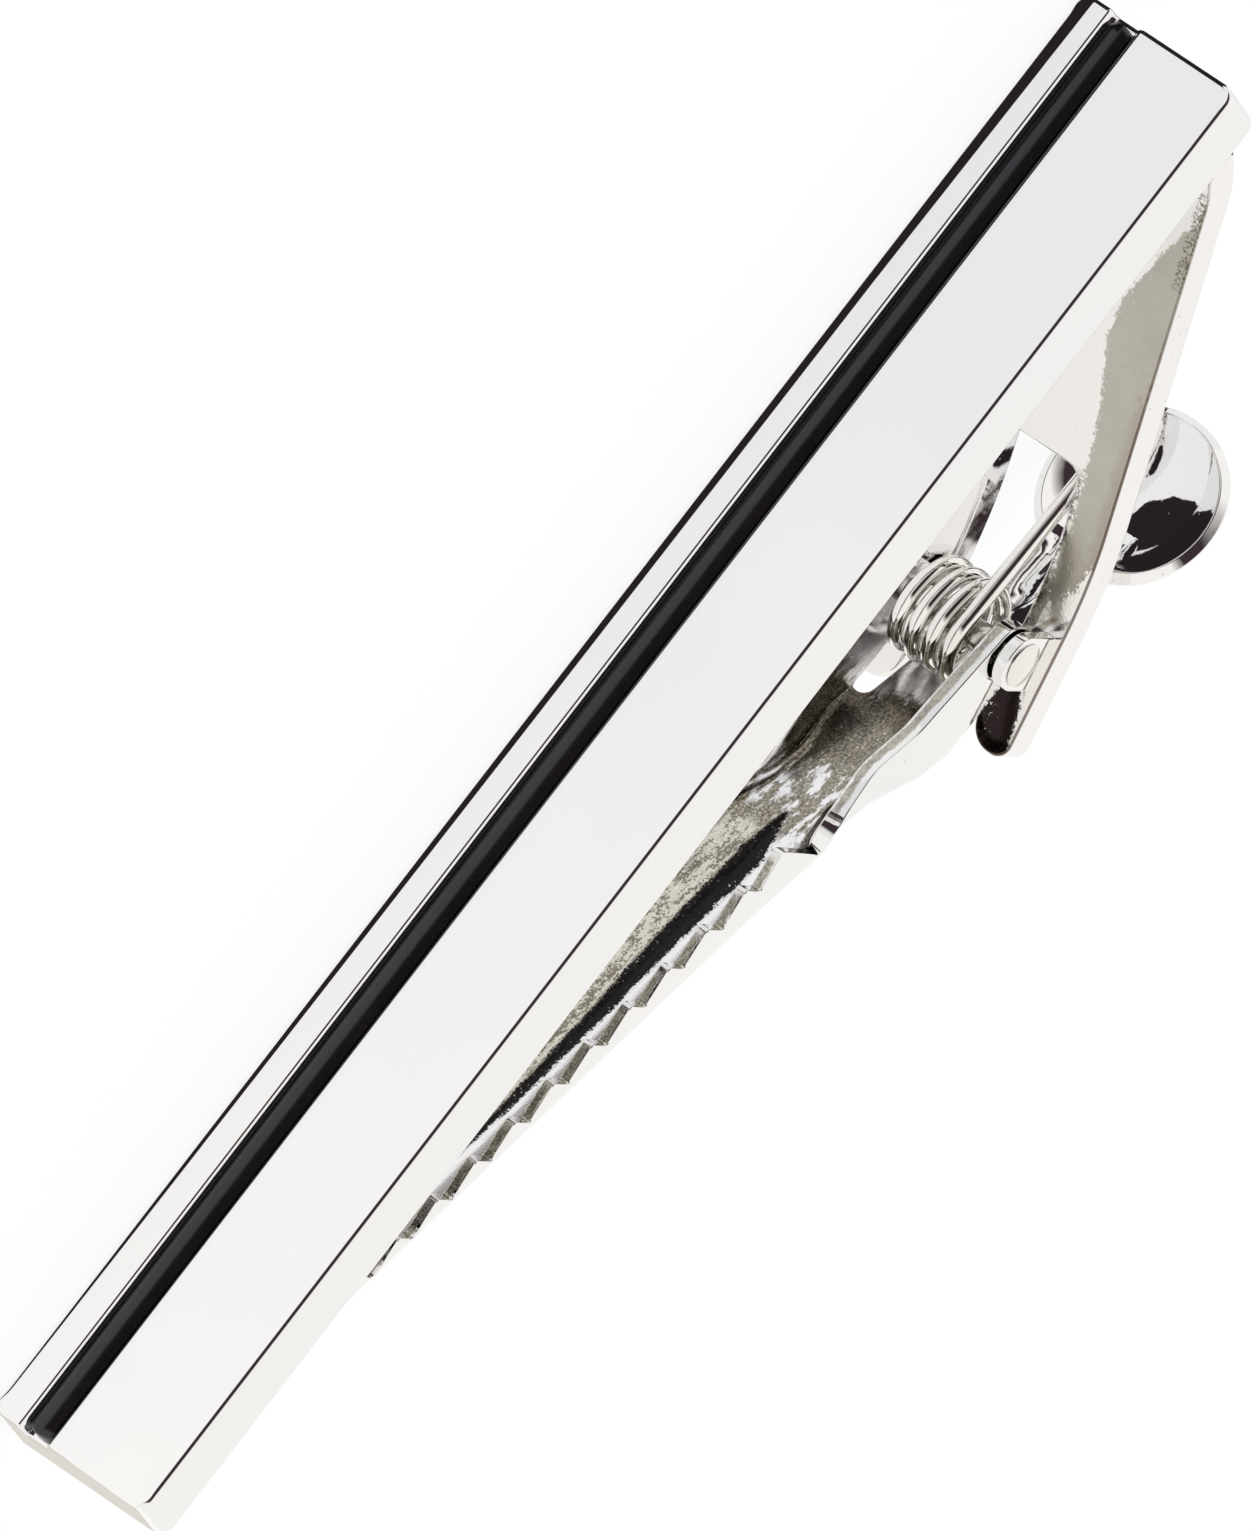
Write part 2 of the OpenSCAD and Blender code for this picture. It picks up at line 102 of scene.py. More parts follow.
# %% [markdown]
# ## From arrays to a mesh
# Chrome shows every fault in its normals, because it mirrors the room. So each surface is a
# function that is evaluated on arrays, and its normals may be handed over with the points.

# %% Build an object from arrays
def facing_out(points, faces):
    """The faces, all turned over if the volume they enclose, a sum of tetrahedra, is negative."""
    tri = np.array([[f[0], f[k], f[k + 1]] for f in faces for k in range(1, len(f) - 1)])
    a, b, c = (points[tri[:, k]] - points.mean(0) for k in range(3))
    return faces if (a * np.cross(b, c)).sum() > 0 else [f[::-1] for f in faces]


def add_piece(name, points, faces, body, replaces, normals=None, sharp=40.0):
    """Side-view points and faces become an object of the frame that rides on a body. Where
    normals are given they are used as they are, else edges over `sharp` degrees are creased."""
    mesh = bpy.data.meshes.new(name)
    faces = faces if normals is not None else facing_out(points, faces)
    mesh.from_pydata(place(points).tolist(), [], [tuple(f) for f in faces])
    if mesh.validate(clean_customdata=False):
        print(name, "had faults that were mended")
    mesh.shade_smooth()
    if normals is None:
        mesh.set_sharp_from_angle(angle=math.radians(sharp))
    else:
        mesh.normals_split_custom_set_from_vertices(np.asarray(normals).tolist())
    obj = bpy.data.objects.new(name, mesh)
    bpy.context.scene.collection.objects.link(obj)
    if body:
        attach(obj, body)
    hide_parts(*replaces)
    print(name, "has", len(mesh.vertices), "points and", len(mesh.polygons), "faces")
    return obj


def loft_faces(rows, cols, start=0):
    """Quads of a grid whose rows are closed loops: each joins point j of row i to the next of both."""
    i, j = np.meshgrid(np.arange(rows - 1), np.arange(cols), indexing="ij")
    k = (j + 1) % cols
    quads = np.stack([i * cols + j, i * cols + k, (i + 1) * cols + k, (i + 1) * cols + j], -1)
    return (quads.reshape(-1, 4) + start).tolist()


def loft(loops):
    """Closed loops carried along a path: quads between neighbours and one flat cap at each end."""
    rows, cols = loops.shape[:2]
    first = list(range(cols))[::-1]
    last = list(range((rows - 1) * cols, rows * cols))
    return loops.reshape(-1, 3), loft_faces(rows, cols) + [first, last]


# %% [markdown]
# ## Rounded outlines
# No edge of a tumbled and plated piece is sharp. An outline is written as a few corners with
# a radius each. An arc replaces every corner, and a support point beside it keeps the flats flat.

# %% Outlines with an arc at each corner
def eased(v):
    """A smooth step: 3 v^2 - 2 v^3, with v held between 0 and 1."""
    v = np.clip(v, 0, 1)
    return v * v * (3 - 2 * v)


def unit(v):
    """Vectors scaled to length 1. A vector of no length stays as it is."""
    return v / np.maximum(np.linalg.norm(v, axis=-1, keepdims=True), 1e-9)


def rounded(corners, radii, steps=6, support=0.03):
    """Each corner P with unit directions a and b to its neighbours gets the arc round
    P + (a + b) / |a + b| * r / sin(half angle), from P + a t to P + b t with t = r / tan(half angle).
    Returns the points and the outward normals of a counter-clockwise outline."""
    p = np.asarray(corners, float)
    r = np.broadcast_to(np.asarray(radii, float), len(p))[:, None]
    a, b = unit(np.roll(p, 1, 0) - p), unit(np.roll(p, -1, 0) - p)
    turn = np.sign(-a[:, 0] * b[:, 1] + a[:, 1] * b[:, 0])[:, None]
    half = np.arccos(np.clip((a * b).sum(1, keepdims=True), -1, 1)) / 2
    t = r / np.tan(half)
    mid = p + unit(a + b) * r / np.sin(half)
    e0, e1 = (p + a * t - mid) / r, (p + b * t - mid) / r
    span = (np.pi - 2 * half)[:, None]
    q = np.linspace(0, 1, steps)[None, :, None]
    ray = (np.sin((1 - q) * span) * e0[:, None] + np.sin(q * span) * e1[:, None]) / np.sin(span)
    points = np.concatenate([(p + a * (t + support))[:, None], mid[:, None] + r[:, None] * ray,
                             (p + b * (t + support))[:, None]], 1)
    out = np.concatenate([e0[:, None], ray, e1[:, None]], 1) * turn[:, None]
    return points.reshape(-1, 2), out.reshape(-1, 2)


# %% [markdown]
# ## The front bar
# The real bar is brass strip with a milled channel, tumbled so that its edges are soft, then
# plated. Its section is one outline carried along the length. Near both ends the outline draws
# in along its own normals by a quarter circle, which rounds the end edges and the corners.

# %% The bar's section, carried along its length
EDGE_R, END_R, CORNER_R, LIP_R = 0.18, 0.13, 0.55, 0.4
LEFT_R = 0.4                       # the edge beside the narrow band is rounder
FLOOR_R, CHAMFER_R, LEAST_R = 0.05, 0.1, 0.012
GROOVE = np.array([1.26, 2.17]) - HALF_W
GROOVE_DEPTH, CHAMFER = 0.6, (0.18, 0.13)
RUN_IN = 0.9                       # a long edge has its own radius this far from an end
ARC_POINTS, SUPPORT = 11, 0.02
END_GAP = 0.002                    # keeps the arcs of the two end sections open


def drawn_in(r, x):
    """How far a quarter circle of radius r lies inside its tangent at x from its start."""
    return r - np.sqrt(np.maximum(r ** 2 - np.maximum(r - x, 0) ** 2, 0))


def edge_arc(radius, gap):
    """One long edge at `gap` from the bar's end, from the side to the face: how far in from the
    side it lies, and how deep. At its level i the outline turns the plan corner on the radius
    CORNER_R - i, so the edge goes round the corner as a quarter of a ring."""
    r = END_R + (radius - END_R) * eased(gap / RUN_IN)
    turn = np.linspace(0, np.arccos(1 - min(gap, r) / r), ARC_POINTS)
    level, depth = r * (1 - np.cos(turn)), r * (1 - np.sin(turn))
    side = level + drawn_in(CORNER_R - level, gap - level)
    return (np.concatenate([side[:1], side, side[-1:] + SUPPORT]),
            np.concatenate([depth[:1] + SUPPORT, depth, depth[-1:]]))


def section(gap):
    """The outline with every side moved in by the end's quarter circle: corner - inset (m + n) /
    (1 + m.n), where m and n are the two sides' normals. The long edges follow their own arcs."""
    g0, g1 = GROOVE
    corners = np.array([[BAR_T, -HALF_W], [BAR_T, HALF_W], [0, HALF_W], [0, g1], [GROOVE_DEPTH, g1],
                        [GROOVE_DEPTH, g0], [CHAMFER[0], g0], [0, g0 - CHAMFER[1]], [0, -HALF_W]])
    radii = np.array([EDGE_R, EDGE_R, EDGE_R, LIP_R, FLOOR_R, FLOOR_R, CHAMFER_R, CHAMFER_R, LEFT_R])
    step = np.roll(corners, -1, 0) - corners
    n = unit(np.stack([step[:, 1], -step[:, 0]], 1))
    m = np.roll(n, 1, 0)
    inset = drawn_in(END_R, gap)
    moved = corners - inset * (m + n) / (1 + (m * n).sum(1, keepdims=True))
    hollow = (m[:, 0] * n[:, 1] - m[:, 1] * n[:, 0]) < 0
    radii = np.maximum(radii + np.where(hollow, inset, -inset), LEAST_R)
    loop = rounded(moved, radii, ARC_POINTS, SUPPORT)[0].reshape(len(corners), -1, 2)
    for k, radius, order in ((0, EDGE_R, 1), (1, EDGE_R, -1), (2, EDGE_R, 1), (8, LEFT_R, -1)):
        side, depth = edge_arc(radius, gap)
        w = np.sign(corners[k, 1]) * (HALF_W - side)
        loop[k] = np.stack([np.abs(corners[k, 0] - depth), w], 1)[::order]
    return loop.reshape(-1, 2)


def stations(near, count):
    """Places along the bar: `near` from both ends, and evenly spaced between them."""
    return np.concatenate([near, np.linspace(1, BAR_LEN - 1, count), BAR_LEN - near[::-1]])


def bar_loops():
    """Sections at stations x, closer together where the plan corners turn."""
    turn, beyond = np.linspace(0, np.pi / 2, 16), [1.1, 1.3, 1.5]
    near = CORNER_R * np.concatenate([1 - np.cos(turn), beyond])
    x = stations(near, 40)
    gap = np.maximum(np.minimum(x, BAR_LEN - x), END_GAP)
    across = np.stack([section(g) for g in gap])
    return np.concatenate([np.broadcast_to(x[:, None, None], across.shape[:2] + (1,)), across], 2)


bar_points, bar_faces = loft(bar_loops())
bar = add_piece("front_bar_polished", bar_points, bar_faces, "root", ["front_bar"])
# Normals weighted by area keep the flats and the end caps flat mirrors.
bar.modifiers.new("flats_first", "WEIGHTED_NORMAL").keep_sharp = True

# %% [markdown]
# ## The enamel line
# Enamel is poured as a liquid and draws up its middle, so it is a shallow dome that sinks a
# little at both walls, and it ends short of the bar's ends in a round meniscus.

# %% The domed enamel
MENISCUS_GAP, MENISCUS_R = 0.2, 0.35
WALL_GAP, FLOOR_GAP = 0.004, 0.01
SINK, DOME, END_SINK = 0.21, 0.19, 0.12


def enamel_loops():
    """Dome height is 1 - q^2 over the half width; near the ends the width follows a circle."""
    half, mid = (GROOVE[1] - GROOVE[0]) / 2 - WALL_GAP, GROOVE.mean()
    angle = np.linspace(0.08, np.pi / 2, 14)
    x = stations(MENISCUS_GAP + MENISCUS_R * (1 - np.cos(angle)), 60)
    gap = np.clip((np.minimum(x, BAR_LEN - x) - MENISCUS_GAP) / MENISCUS_R, 0, 1)[:, None]
    wide = half - MENISCUS_R * (1 - np.sqrt(1 - (1 - gap) ** 2))
    q = np.linspace(-1, 1, 25)[None]
    top = SINK + END_SINK * (1 - gap) ** 2 - DOME * (1 - q ** 2)
    below = np.linspace(1, -1, 5)[None]
    bottom = np.full((len(x), below.size), GROOVE_DEPTH - FLOOR_GAP)
    d = np.concatenate([top, bottom], 1)
    w = mid + wide * np.concatenate([q, below], 1)
    return np.stack([np.broadcast_to(x[:, None], d.shape), d, w], 2)[:, ::-1]


enamel_points, enamel_faces = loft(enamel_loops())
enamel = add_piece("enamel_domed", enamel_points, enamel_faces, "root",
                   ["enamel_stripe"], sharp=50)

# %% [markdown]
# ## Pressed sheet metal
# The arm and the lever are blanks: flat outlines punched from strip, then bent. They are made
# the same way here. The flat outline is filled with triangles, then one smooth function says
# where each point of the blank goes, and the sheet's two sides and its rounded rim lie at
# offsets along that function's own normal.

# %% Fill a blank, then press it
def inside(points, loops):
    """Even-odd rule: a point is inside if a ray from it crosses the loops an odd number of times."""
    p, q = np.concatenate(loops), np.concatenate([np.roll(l, -1, 0) for l in loops])
    x, y = points[:, 0, None], points[:, 1, None]
    spans = (p[None, :, 1] > y) != (q[None, :, 1] > y)
    rise = np.where(q[:, 1] == p[:, 1], 1e-12, q[:, 1] - p[:, 1])[None]
    cross = (q[None, :, 0] - p[None, :, 0]) * (y - p[None, :, 1]) / rise + p[None, :, 0]
    return (spans & (x < cross)).sum(1) % 2 == 1


def fill(loops, spacing):
    """Triangles inside closed loops, with a grid of inner points kept clear of the outline. The
    distances are worked out in groups, which saves memory."""
    clear, groups = 0.45 * spacing, 40
    rim = np.concatenate(loops)
    lo, hi = rim.min(0), rim.max(0)
    gx, gy = np.meshgrid(np.arange(lo[0], hi[0], spacing), np.arange(lo[1], hi[1], spacing))
    grid = np.stack([gx.ravel(), gy.ravel()], 1)
    grid = grid[inside(grid, loops)]
    away = np.concatenate([np.linalg.norm(part[:, None] - rim[None], axis=2).min(1)
                           for part in np.array_split(grid, groups)])
    grid = grid[away > clear]
    points = np.concatenate([rim, grid])
    starts = np.cumsum([0] + [len(l) for l in loops])
    edges = np.concatenate([np.stack([a + np.arange(len(l)), a + (np.arange(len(l)) + 1) % len(l)], 1)
                            for a, l in zip(starts, loops)])
    made = delaunay_2d_cdt(list(map(Vector, points.tolist())), edges.tolist(), [], 0, 1e-7)
    flat = np.array([points[o[0]] if o else list(v) for v, o in zip(made[0], made[3])])
    tris = np.array([list(f) for f in made[2]])
    tris = tris[inside(flat[tris].mean(1), loops)]
    return flat, tris


def surface_normal(surface, blank, step=0.01):
    """The pressed sheet's normal and its two slopes. The slopes are central differences, and the
    normal is their cross product."""
    da, dy = np.array([step, 0]), np.array([0, step])
    along = surface(blank + da) - surface(blank - da)
    across = surface(blank + dy) - surface(blank - dy)
    return unit(np.cross(along, across)), along / (2 * step), across / (2 * step)


def outward(loop):
    """Outward normals in the blank's plane: the chord through both neighbours, turned by 90 degrees."""
    chord = np.roll(loop, -1, 0) - np.roll(loop, 1, 0)
    return unit(np.stack([chord[:, 1], -chord[:, 0]], 1))


def press(loops, surface, thick, edge_r, spacing, pared=lambda blank: 0 * blank[:, 0], arc_steps=4):
    """A sheet of even thickness round surface(blank). The first loop runs counter-clockwise and
    holes run clockwise. The rim is a quarter circle, the wall and a quarter circle, carried
    along each loop at the distance of the outline. `pared` is what is taken off the side towards
    the bar. The plan holds a, y and the level in the sheet, 1 towards the bar and -1 away."""
    inner = [l - outward(l) * edge_r for l in loops]
    flat, tris = fill(inner, spacing)
    n, _, _ = surface_normal(surface, flat)
    mid = surface(flat)
    sides = [mid + n * (thick / 2 - pared(flat))[:, None], mid - n * thick / 2]
    points, normals = [sides[0], sides[1]], [n, -n]
    plan = [np.c_[flat, np.ones(len(flat))], np.c_[flat, -np.ones(len(flat))]]
    faces = [tris.tolist(), (tris[:, ::-1] + len(flat)).tolist()]
    count = 2 * len(flat)
    quarter = np.linspace(0, np.pi / 2, arc_steps)
    bulge = np.concatenate([np.sin(quarter), np.sin(quarter[::-1])])
    height = np.concatenate([np.cos(quarter), -np.cos(quarter[::-1])])
    upper = (np.arange(len(height)) < arc_steps)[:, None]
    for l in inner:
        n, along, across = surface_normal(surface, l)
        o = outward(l)
        side = along * o[:, :1] + across * o[:, 1:]
        side = unit(side - (side * n).sum(1, keepdims=True) * n)
        rim_n = bulge[:, None, None] * side[None] + height[:, None, None] * n[None]
        shift = np.where(upper, thick / 2 - edge_r - pared(l)[None], edge_r - thick / 2)
        rim = surface(l)[None] + shift[:, :, None] * n[None] + edge_r * rim_n
        level = (shift + edge_r * height[:, None]) / (thick / 2)
        points.append(rim.reshape(-1, 3))
        normals.append(rim_n.reshape(-1, 3))
        plan.append(np.c_[np.tile(l, (len(height), 1)), level.ravel()])
        faces.append([f[::-1] for f in loft_faces(len(height), len(l), count)])
        count += rim_n.shape[0] * rim_n.shape[1]
    return np.concatenate(points), sum(faces, []), np.concatenate(normals), np.concatenate(plan)


def weld(points, faces, normals, plan):
    """Joins points that coincide, where the rim meets the two sides of a sheet."""
    _, first, back = np.unique(points.round(5), axis=0, return_index=True, return_inverse=True)
    back = back.ravel()
    joined = [[int(back[i]) for i in f] for f in faces]
    joined = [f for f in joined if len(set(f)) == len(f)]
    return points[first], joined, normals[first], plan[first]


def add_pressed(name, shells, body, replaces):
    """Adds shells (points, faces, normals, plan) as one piece, each turned to face outwards. The
    attribute plan carries the blank's own coordinates to the finishes."""
    points, faces, normals, plans, start = [], [], [], [], 0
    for shell in shells:
        p, f, n, plan = weld(*shell)
        points.append(p)
        normals.append(n)
        plans.append(plan)
        faces += [[i + start for i in x] for x in facing_out(p, f)]
        start += len(p)
    points, normals = np.concatenate(points), np.concatenate(normals)
    obj = add_piece(name, points, faces, body, replaces, normals)
    where = obj.data.attributes.new("plan", "FLOAT_VECTOR", "POINT")
    where.data.foreach_set("vector", np.concatenate(plans).astype(np.float32).ravel())
    return obj


# %% [markdown]
# ## The forked arm
# The arm is one strip as wide as the bar. It rises steeply from a brazed foot, leans over and
# flattens towards its two prongs. The spring and the lever's neck pass through its slot.

# %% Where the arm's strip runs
ARM_T, FOOT_INSET = 1.15, 1.2
FOOT_ANGLE, MID_ANGLE, TIP_ANGLE = 66.0, 43.0, 25.0
FOOT_RUN, FOOT_BEND_R, MID_RUN, TIP_BEND_R, TIP_RUN = 0.5, 3.2, 11.9, 12.7, 4.3
FOOT_HALF = ARM_T / 2 / math.sin(math.radians(FOOT_ANGLE))
ARM_FOOT = np.array([FOOT_INSET + FOOT_HALF, BAR_T])
ARM_LENGTHS = np.array([FOOT_RUN, math.radians(FOOT_ANGLE - MID_ANGLE) * FOOT_BEND_R, MID_RUN,
                        math.radians(MID_ANGLE - TIP_ANGLE) * TIP_BEND_R, TIP_RUN])
ARM_ANGLES = np.repeat([FOOT_ANGLE, MID_ANGLE, TIP_ANGLE], 2)
arm_stations = np.concatenate([[0], np.cumsum(ARM_LENGTHS)])
ARM_LEN = arm_stations[-1]
fine_a = np.linspace(-1, ARM_LEN + 1, 4601)
fine_angle = np.radians(np.interp(fine_a, arm_stations, ARM_ANGLES))
fine_line = np.stack([np.cos(fine_angle), np.sin(fine_angle)], 1) * (fine_a[1] - fine_a[0])
fine_line = np.cumsum(fine_line, 0) - fine_line / 2
fine_line += ARM_FOOT - [np.interp(0, fine_a, fine_line[:, k]) for k in (0, 1)]


def arm_surface(blank):
    """The middle of the strip: the line whose heading turns evenly in each bend, carried across."""
    s, d = (np.interp(blank[:, 0], fine_a, fine_line[:, k]) for k in (0, 1))
    return np.stack([s, d, blank[:, 1]], 1)


def ear_surface(side):
    """A flat plate in the side view, at a fixed distance from the middle of the width."""
    return lambda blank: np.stack([blank[:, 0], blank[:, 1], np.full(len(blank), side)], 1)


SLOT_HALF, SLOT_BACK, SLOT_R = 1.55, 1.46, 0.55
FOOT_R, PRONG_OUTER_R, PRONG_INNER_R, SUNK = 0.1, 0.6, 0.9, 0.3
slot_start = arm_stations[3] - SLOT_BACK
one_side = np.array([[slot_start, SLOT_HALF], [ARM_LEN, SLOT_HALF], [ARM_LEN, HALF_W], [-SUNK, HALF_W]])
side_radii = [SLOT_R, PRONG_INNER_R, PRONG_OUTER_R, FOOT_R]
arm_blank, _ = rounded(np.concatenate([one_side[::-1] * [1, -1], one_side]),
                       side_radii[::-1] + side_radii, steps=10)


def dense(loop, reach=0.3):
    """Long sides get more points, spread evenly, so that they can follow a bend."""
    gap = np.linalg.norm(np.roll(loop, -1, 0) - loop, axis=1)
    parts = np.maximum(np.ceil(gap / reach).astype(int), 1)
    first = np.repeat(np.arange(len(loop)), parts)
    share = (np.arange(parts.sum()) - np.repeat(np.cumsum(parts) - parts, parts)) / parts[first]
    return loop[first] + share[:, None] * (np.roll(loop, -1, 0)[first] - loop[first])


arm_shell = press([dense(arm_blank)], arm_surface, ARM_T, edge_r=0.13, spacing=0.35)
arm_shell[0][:, 1] = np.maximum(arm_shell[0][:, 1], BAR_T)
EAR_MID, EAR_T, EAR_R, EAR_DROP = 2.625, 0.45, 0.95, 1.35
lean = math.radians(TIP_ANGLE)
lean_x, lean_y = np.array([math.cos(lean), math.sin(lean)]), np.array([-math.sin(lean), math.cos(lean)])
around = np.linspace(np.pi, 2 * np.pi, 28)[:, None]
ear_top = PIN + EAR_R * (np.cos(around) * lean_x + np.sin(around) * lean_y)
ear_foot = PIN + np.array([EAR_R, -EAR_R])[:, None] * lean_x + EAR_DROP * lean_y
ear_loop = dense(np.concatenate([ear_top, ear_foot]))
ear_shells = [press([ear_loop], ear_surface(side), EAR_T, edge_r=0.06, spacing=0.3)
              for side in (EAR_MID, -EAR_MID)]
arm = add_pressed("clip_arm_formed", [arm_shell] + ear_shells, "root", ["clip_arm"])

# %% [markdown]
# ## The jaw lever
# The lever is one stamping: a channel with toothed edges, two flanges round the pin, a neck
# that passes through the arm's slot, and a dished pad for the thumb. Its spine is a soft line
# in the side view. Across the spine the blank is flat, turns up through a bend and runs on as
# a flange; near the pad it is drawn into a dish instead.

# %% The lever's spine and its section
SHEET = 0.6
NOSE = np.array([BAR_LEN - 5.2, BAR_T + 0.05])
THROAT, SHOULDER = PIN + [8.6, -0.9], PIN + [3.9, 1.2]
HEEL, CREST = PIN + [9.5, -3.95], PIN + [3.6, -1.6]
RIM = PIN + [-7.0, 4.6]
CAP_HALF, CAP_DEPTH, CAP_TILT = 3.15, 1.4, math.radians(5)
BALL_R = (CAP_HALF ** 2 + CAP_DEPTH ** 2) / (2 * CAP_DEPTH)
BALL = RIM - (BALL_R - CAP_DEPTH) * np.array([math.sin(CAP_TILT), math.cos(CAP_TILT)])
spine_keys = np.array([
    BALL + [-9, -0.5], BALL + [-0.4, 1.0], BALL + [1.1, BALL_R - 0.15], PIN + [-4.65, 5.72],
    PIN + [-2.9, 5.2], PIN + [1.3, 2.5], SHOULDER, SHOULDER + 0.7 * (THROAT - SHOULDER), THROAT,
    NOSE + [-3.5, 2.4], NOSE + [-0.88, 0.96], NOSE, NOSE + [2.0, -2.4]])
lever_a = np.linspace(0, BAR_LEN, 5501)


def softened(x, y, reach):
    """A broken line, averaged over a raised cosine window `reach` long, as a fine table."""
    table = np.interp(lever_a, x, y)
    window = np.hanning(int(reach / (lever_a[1] - lever_a[0])) | 1)
    pad = len(window) // 2
    padded = np.concatenate([np.full(pad, table[0]), table, np.full(pad, table[-1])])
    return np.convolve(padded, window / window.sum(), "valid")


def look(table, a):
    """The value of a fine table at station a."""
    return np.interp(a, lever_a, table)


outer_d = softened(spine_keys[:, 0], spine_keys[:, 1], 1.3)
outer_slope = np.gradient(outer_d, lever_a)
spine_d = outer_d - SHEET / 2 * np.sqrt(1 + outer_slope ** 2)
spine_slope = np.gradient(spine_d, lever_a)
half_table = softened([15, 21, 22.6, 23.9, 25.1, NOSE[0] - 3.4, NOSE[0]],
                      [2.0, 2.0, 1.6, 1.6, 1.93, 1.93, 1.5], 0.9)
bend_table = softened([15, 21, 24, 28, 45, NOSE[0]], [0.4, 0.5, 0.75, 1.0, 0.9, 0.6], 2.0)
wall_table = softened([0, 12.3, 14.6, 17.2], [16.85, 16.85, 16.75, 12.5], 1.0)

# Along the spine: the dish's wall, the neck, the dish's fade, the flanges and the flared jaw.
WALL_FROM, WALL_RUN = 11.5, 1.3
TROUGH_END, TROUGH_RUN, TROUGH_RISE, TROUGH_FLAT = 16.8, 3.2, 5.0, 0.5
DISH_END, DISH_FADE, DISH_HALF = 18.0, 2.0, 3.3
FLANGES_FROM, NECK_CLEAR, NO_BEND = 15.5, 1.45, 9.0
FLARE_FROM, FLARE_RUN, FLARE = 26, 3, 0.08
MELD = 0.03                        # how softly the trough runs into the wall, in mm2


def channel(a, y):
    """Across the spine: flat, then an arc of radius r, then a straight flange.
    Returns the distance from the middle plane and the height towards the bar."""
    half, r = look(half_table, a), look(bend_table, a)
    flat = np.where(a < FLANGES_FROM, NO_BEND, half - r)
    turn = np.clip((np.abs(y) - flat) / r, 0, np.pi / 2)
    past = np.maximum(np.abs(y) - flat - r * np.pi / 2, 0)
    flare = FLARE * np.clip((a - FLARE_FROM) / FLARE_RUN, 0, 1)
    wide = np.minimum(np.abs(y), flat) + r * np.sin(turn) + flare * past
    return np.sign(y) * wide, r * (1 - np.cos(turn)) + past


def dish(a, y):
    """Depth of the neck and the pad: the larger, softly, of a trough and a ball's cap."""
    trough = TROUGH_RISE * np.clip((TROUGH_END - a) / TROUGH_RUN, 0.05, 1)
    floor = look(spine_d, a) - trough * np.maximum(np.abs(y) - TROUGH_FLAT, 0) ** 2
    level = (BALL_R - SHEET / 2) ** 2 - (a - BALL[0]) ** 2 - y ** 2
    cap = BALL[1] + np.sqrt(np.maximum(level, 1.0))
    side = cap + eased((a - WALL_FROM) / WALL_RUN) * (look(wall_table, a) - cap)
    return (floor + side + np.sqrt((floor - side) ** 2 + MELD)) / 2


def lever_surface(blank):
    """Middle of the sheet: spine(a) + height * front normal(a), and the dish where there is one."""
    a, y = blank[:, 0], blank[:, 1]
    w, h = channel(a, y)
    slope = look(spine_slope, a)
    size = np.sqrt(1 + slope ** 2)
    fade = eased((DISH_END - a) / DISH_FADE) * (np.abs(y) < DISH_HALF)
    d = look(spine_d, a) + fade * (dish(a, y) - look(spine_d, a))
    d = np.where((a > FLANGES_FROM) & (np.abs(y) > NECK_CLEAR), look(spine_d, a), d)
    return np.stack([a + h * slope / size, d - h / size, w], 1)


def unfold(points):
    """From the side view to the blank, for points on a flange: the station whose normal passes
    through the point, and the length of the section up to its height."""
    line = np.stack([lever_a, spine_d], 1)
    tangent = np.stack([np.ones_like(lever_a), spine_slope], 1)
    size = np.sqrt(1 + spine_slope ** 2)
    allowed = lever_a > FLANGES_FROM + 0.1
    off = ((points[:, None] - line[None]) * tangent[None]).sum(2) / size[None]
    k = np.where(allowed[None], np.abs(off), 1e9).argmin(1)
    a = lever_a[k] + off[np.arange(len(k)), k] / size[k]
    gap = points - np.stack([a, look(spine_d, a)], 1)
    h = np.linalg.norm(gap, axis=1)
    half, r = look(half_table, a), look(bend_table, a)
    bent = r * np.arccos(np.clip(1 - h / r, 0, 1))
    return np.stack([a, half - r + np.where(h < r, bent, r * np.pi / 2 + h - r)], 1)


# %% [markdown]
# ## The lever's blank
# The blank is drawn for one side and mirrored. Its toothed edge is given in the side view,
# where the teeth bite, and unfolded onto the blank. Each notch has a long and a steep side.

# %% Draw the blank
def soft_chain(corners, radii):
    """An open chain of corners, each with its arc; the two ends are left as they are."""
    points, _ = rounded(corners, radii, steps=5, support=0.02)
    run = points.reshape(len(corners), -1, 2)[1:-1].reshape(-1, 2)
    return np.concatenate([[corners[0]], run, [corners[-1]]])


PAD_R, NECK_HALF, FILLET = 2.92, 1.2, 0.5
fillet_at = np.array([RIM[0] + math.sqrt((PAD_R + FILLET) ** 2 - (NECK_HALF + FILLET) ** 2),
                      NECK_HALF + FILLET])
meet = math.asin(fillet_at[1] / (PAD_R + FILLET))


def arc(centre, radius, start, stop, count):
    """Points centre + radius (cos t, sin t) with t from start to stop."""
    t = np.linspace(start, stop, count)
    return centre + radius * np.stack([np.cos(t), np.sin(t)], 1)


pad_edge = arc(np.array([RIM[0], 0]), PAD_R, np.pi, meet, 60)
neck_fillet = arc(fillet_at, FILLET, meet + np.pi, 1.5 * np.pi, 10)[1:]

EAR_EDGE_R, HOLE_R = 1.05, 0.55
RELIEF_A, RELIEF_HALF, RELIEF_R = 19.9, 2.1, 0.3
ear_edge = unfold(arc(PIN, EAR_EDGE_R, np.pi / 2, 1.5 * np.pi, 36))
relief = soft_chain(np.array([neck_fillet[-1], [RELIEF_A, NECK_HALF], [RELIEF_A, RELIEF_HALF],
                              ear_edge[0]]), [0.1, RELIEF_R, RELIEF_R, 0.1])

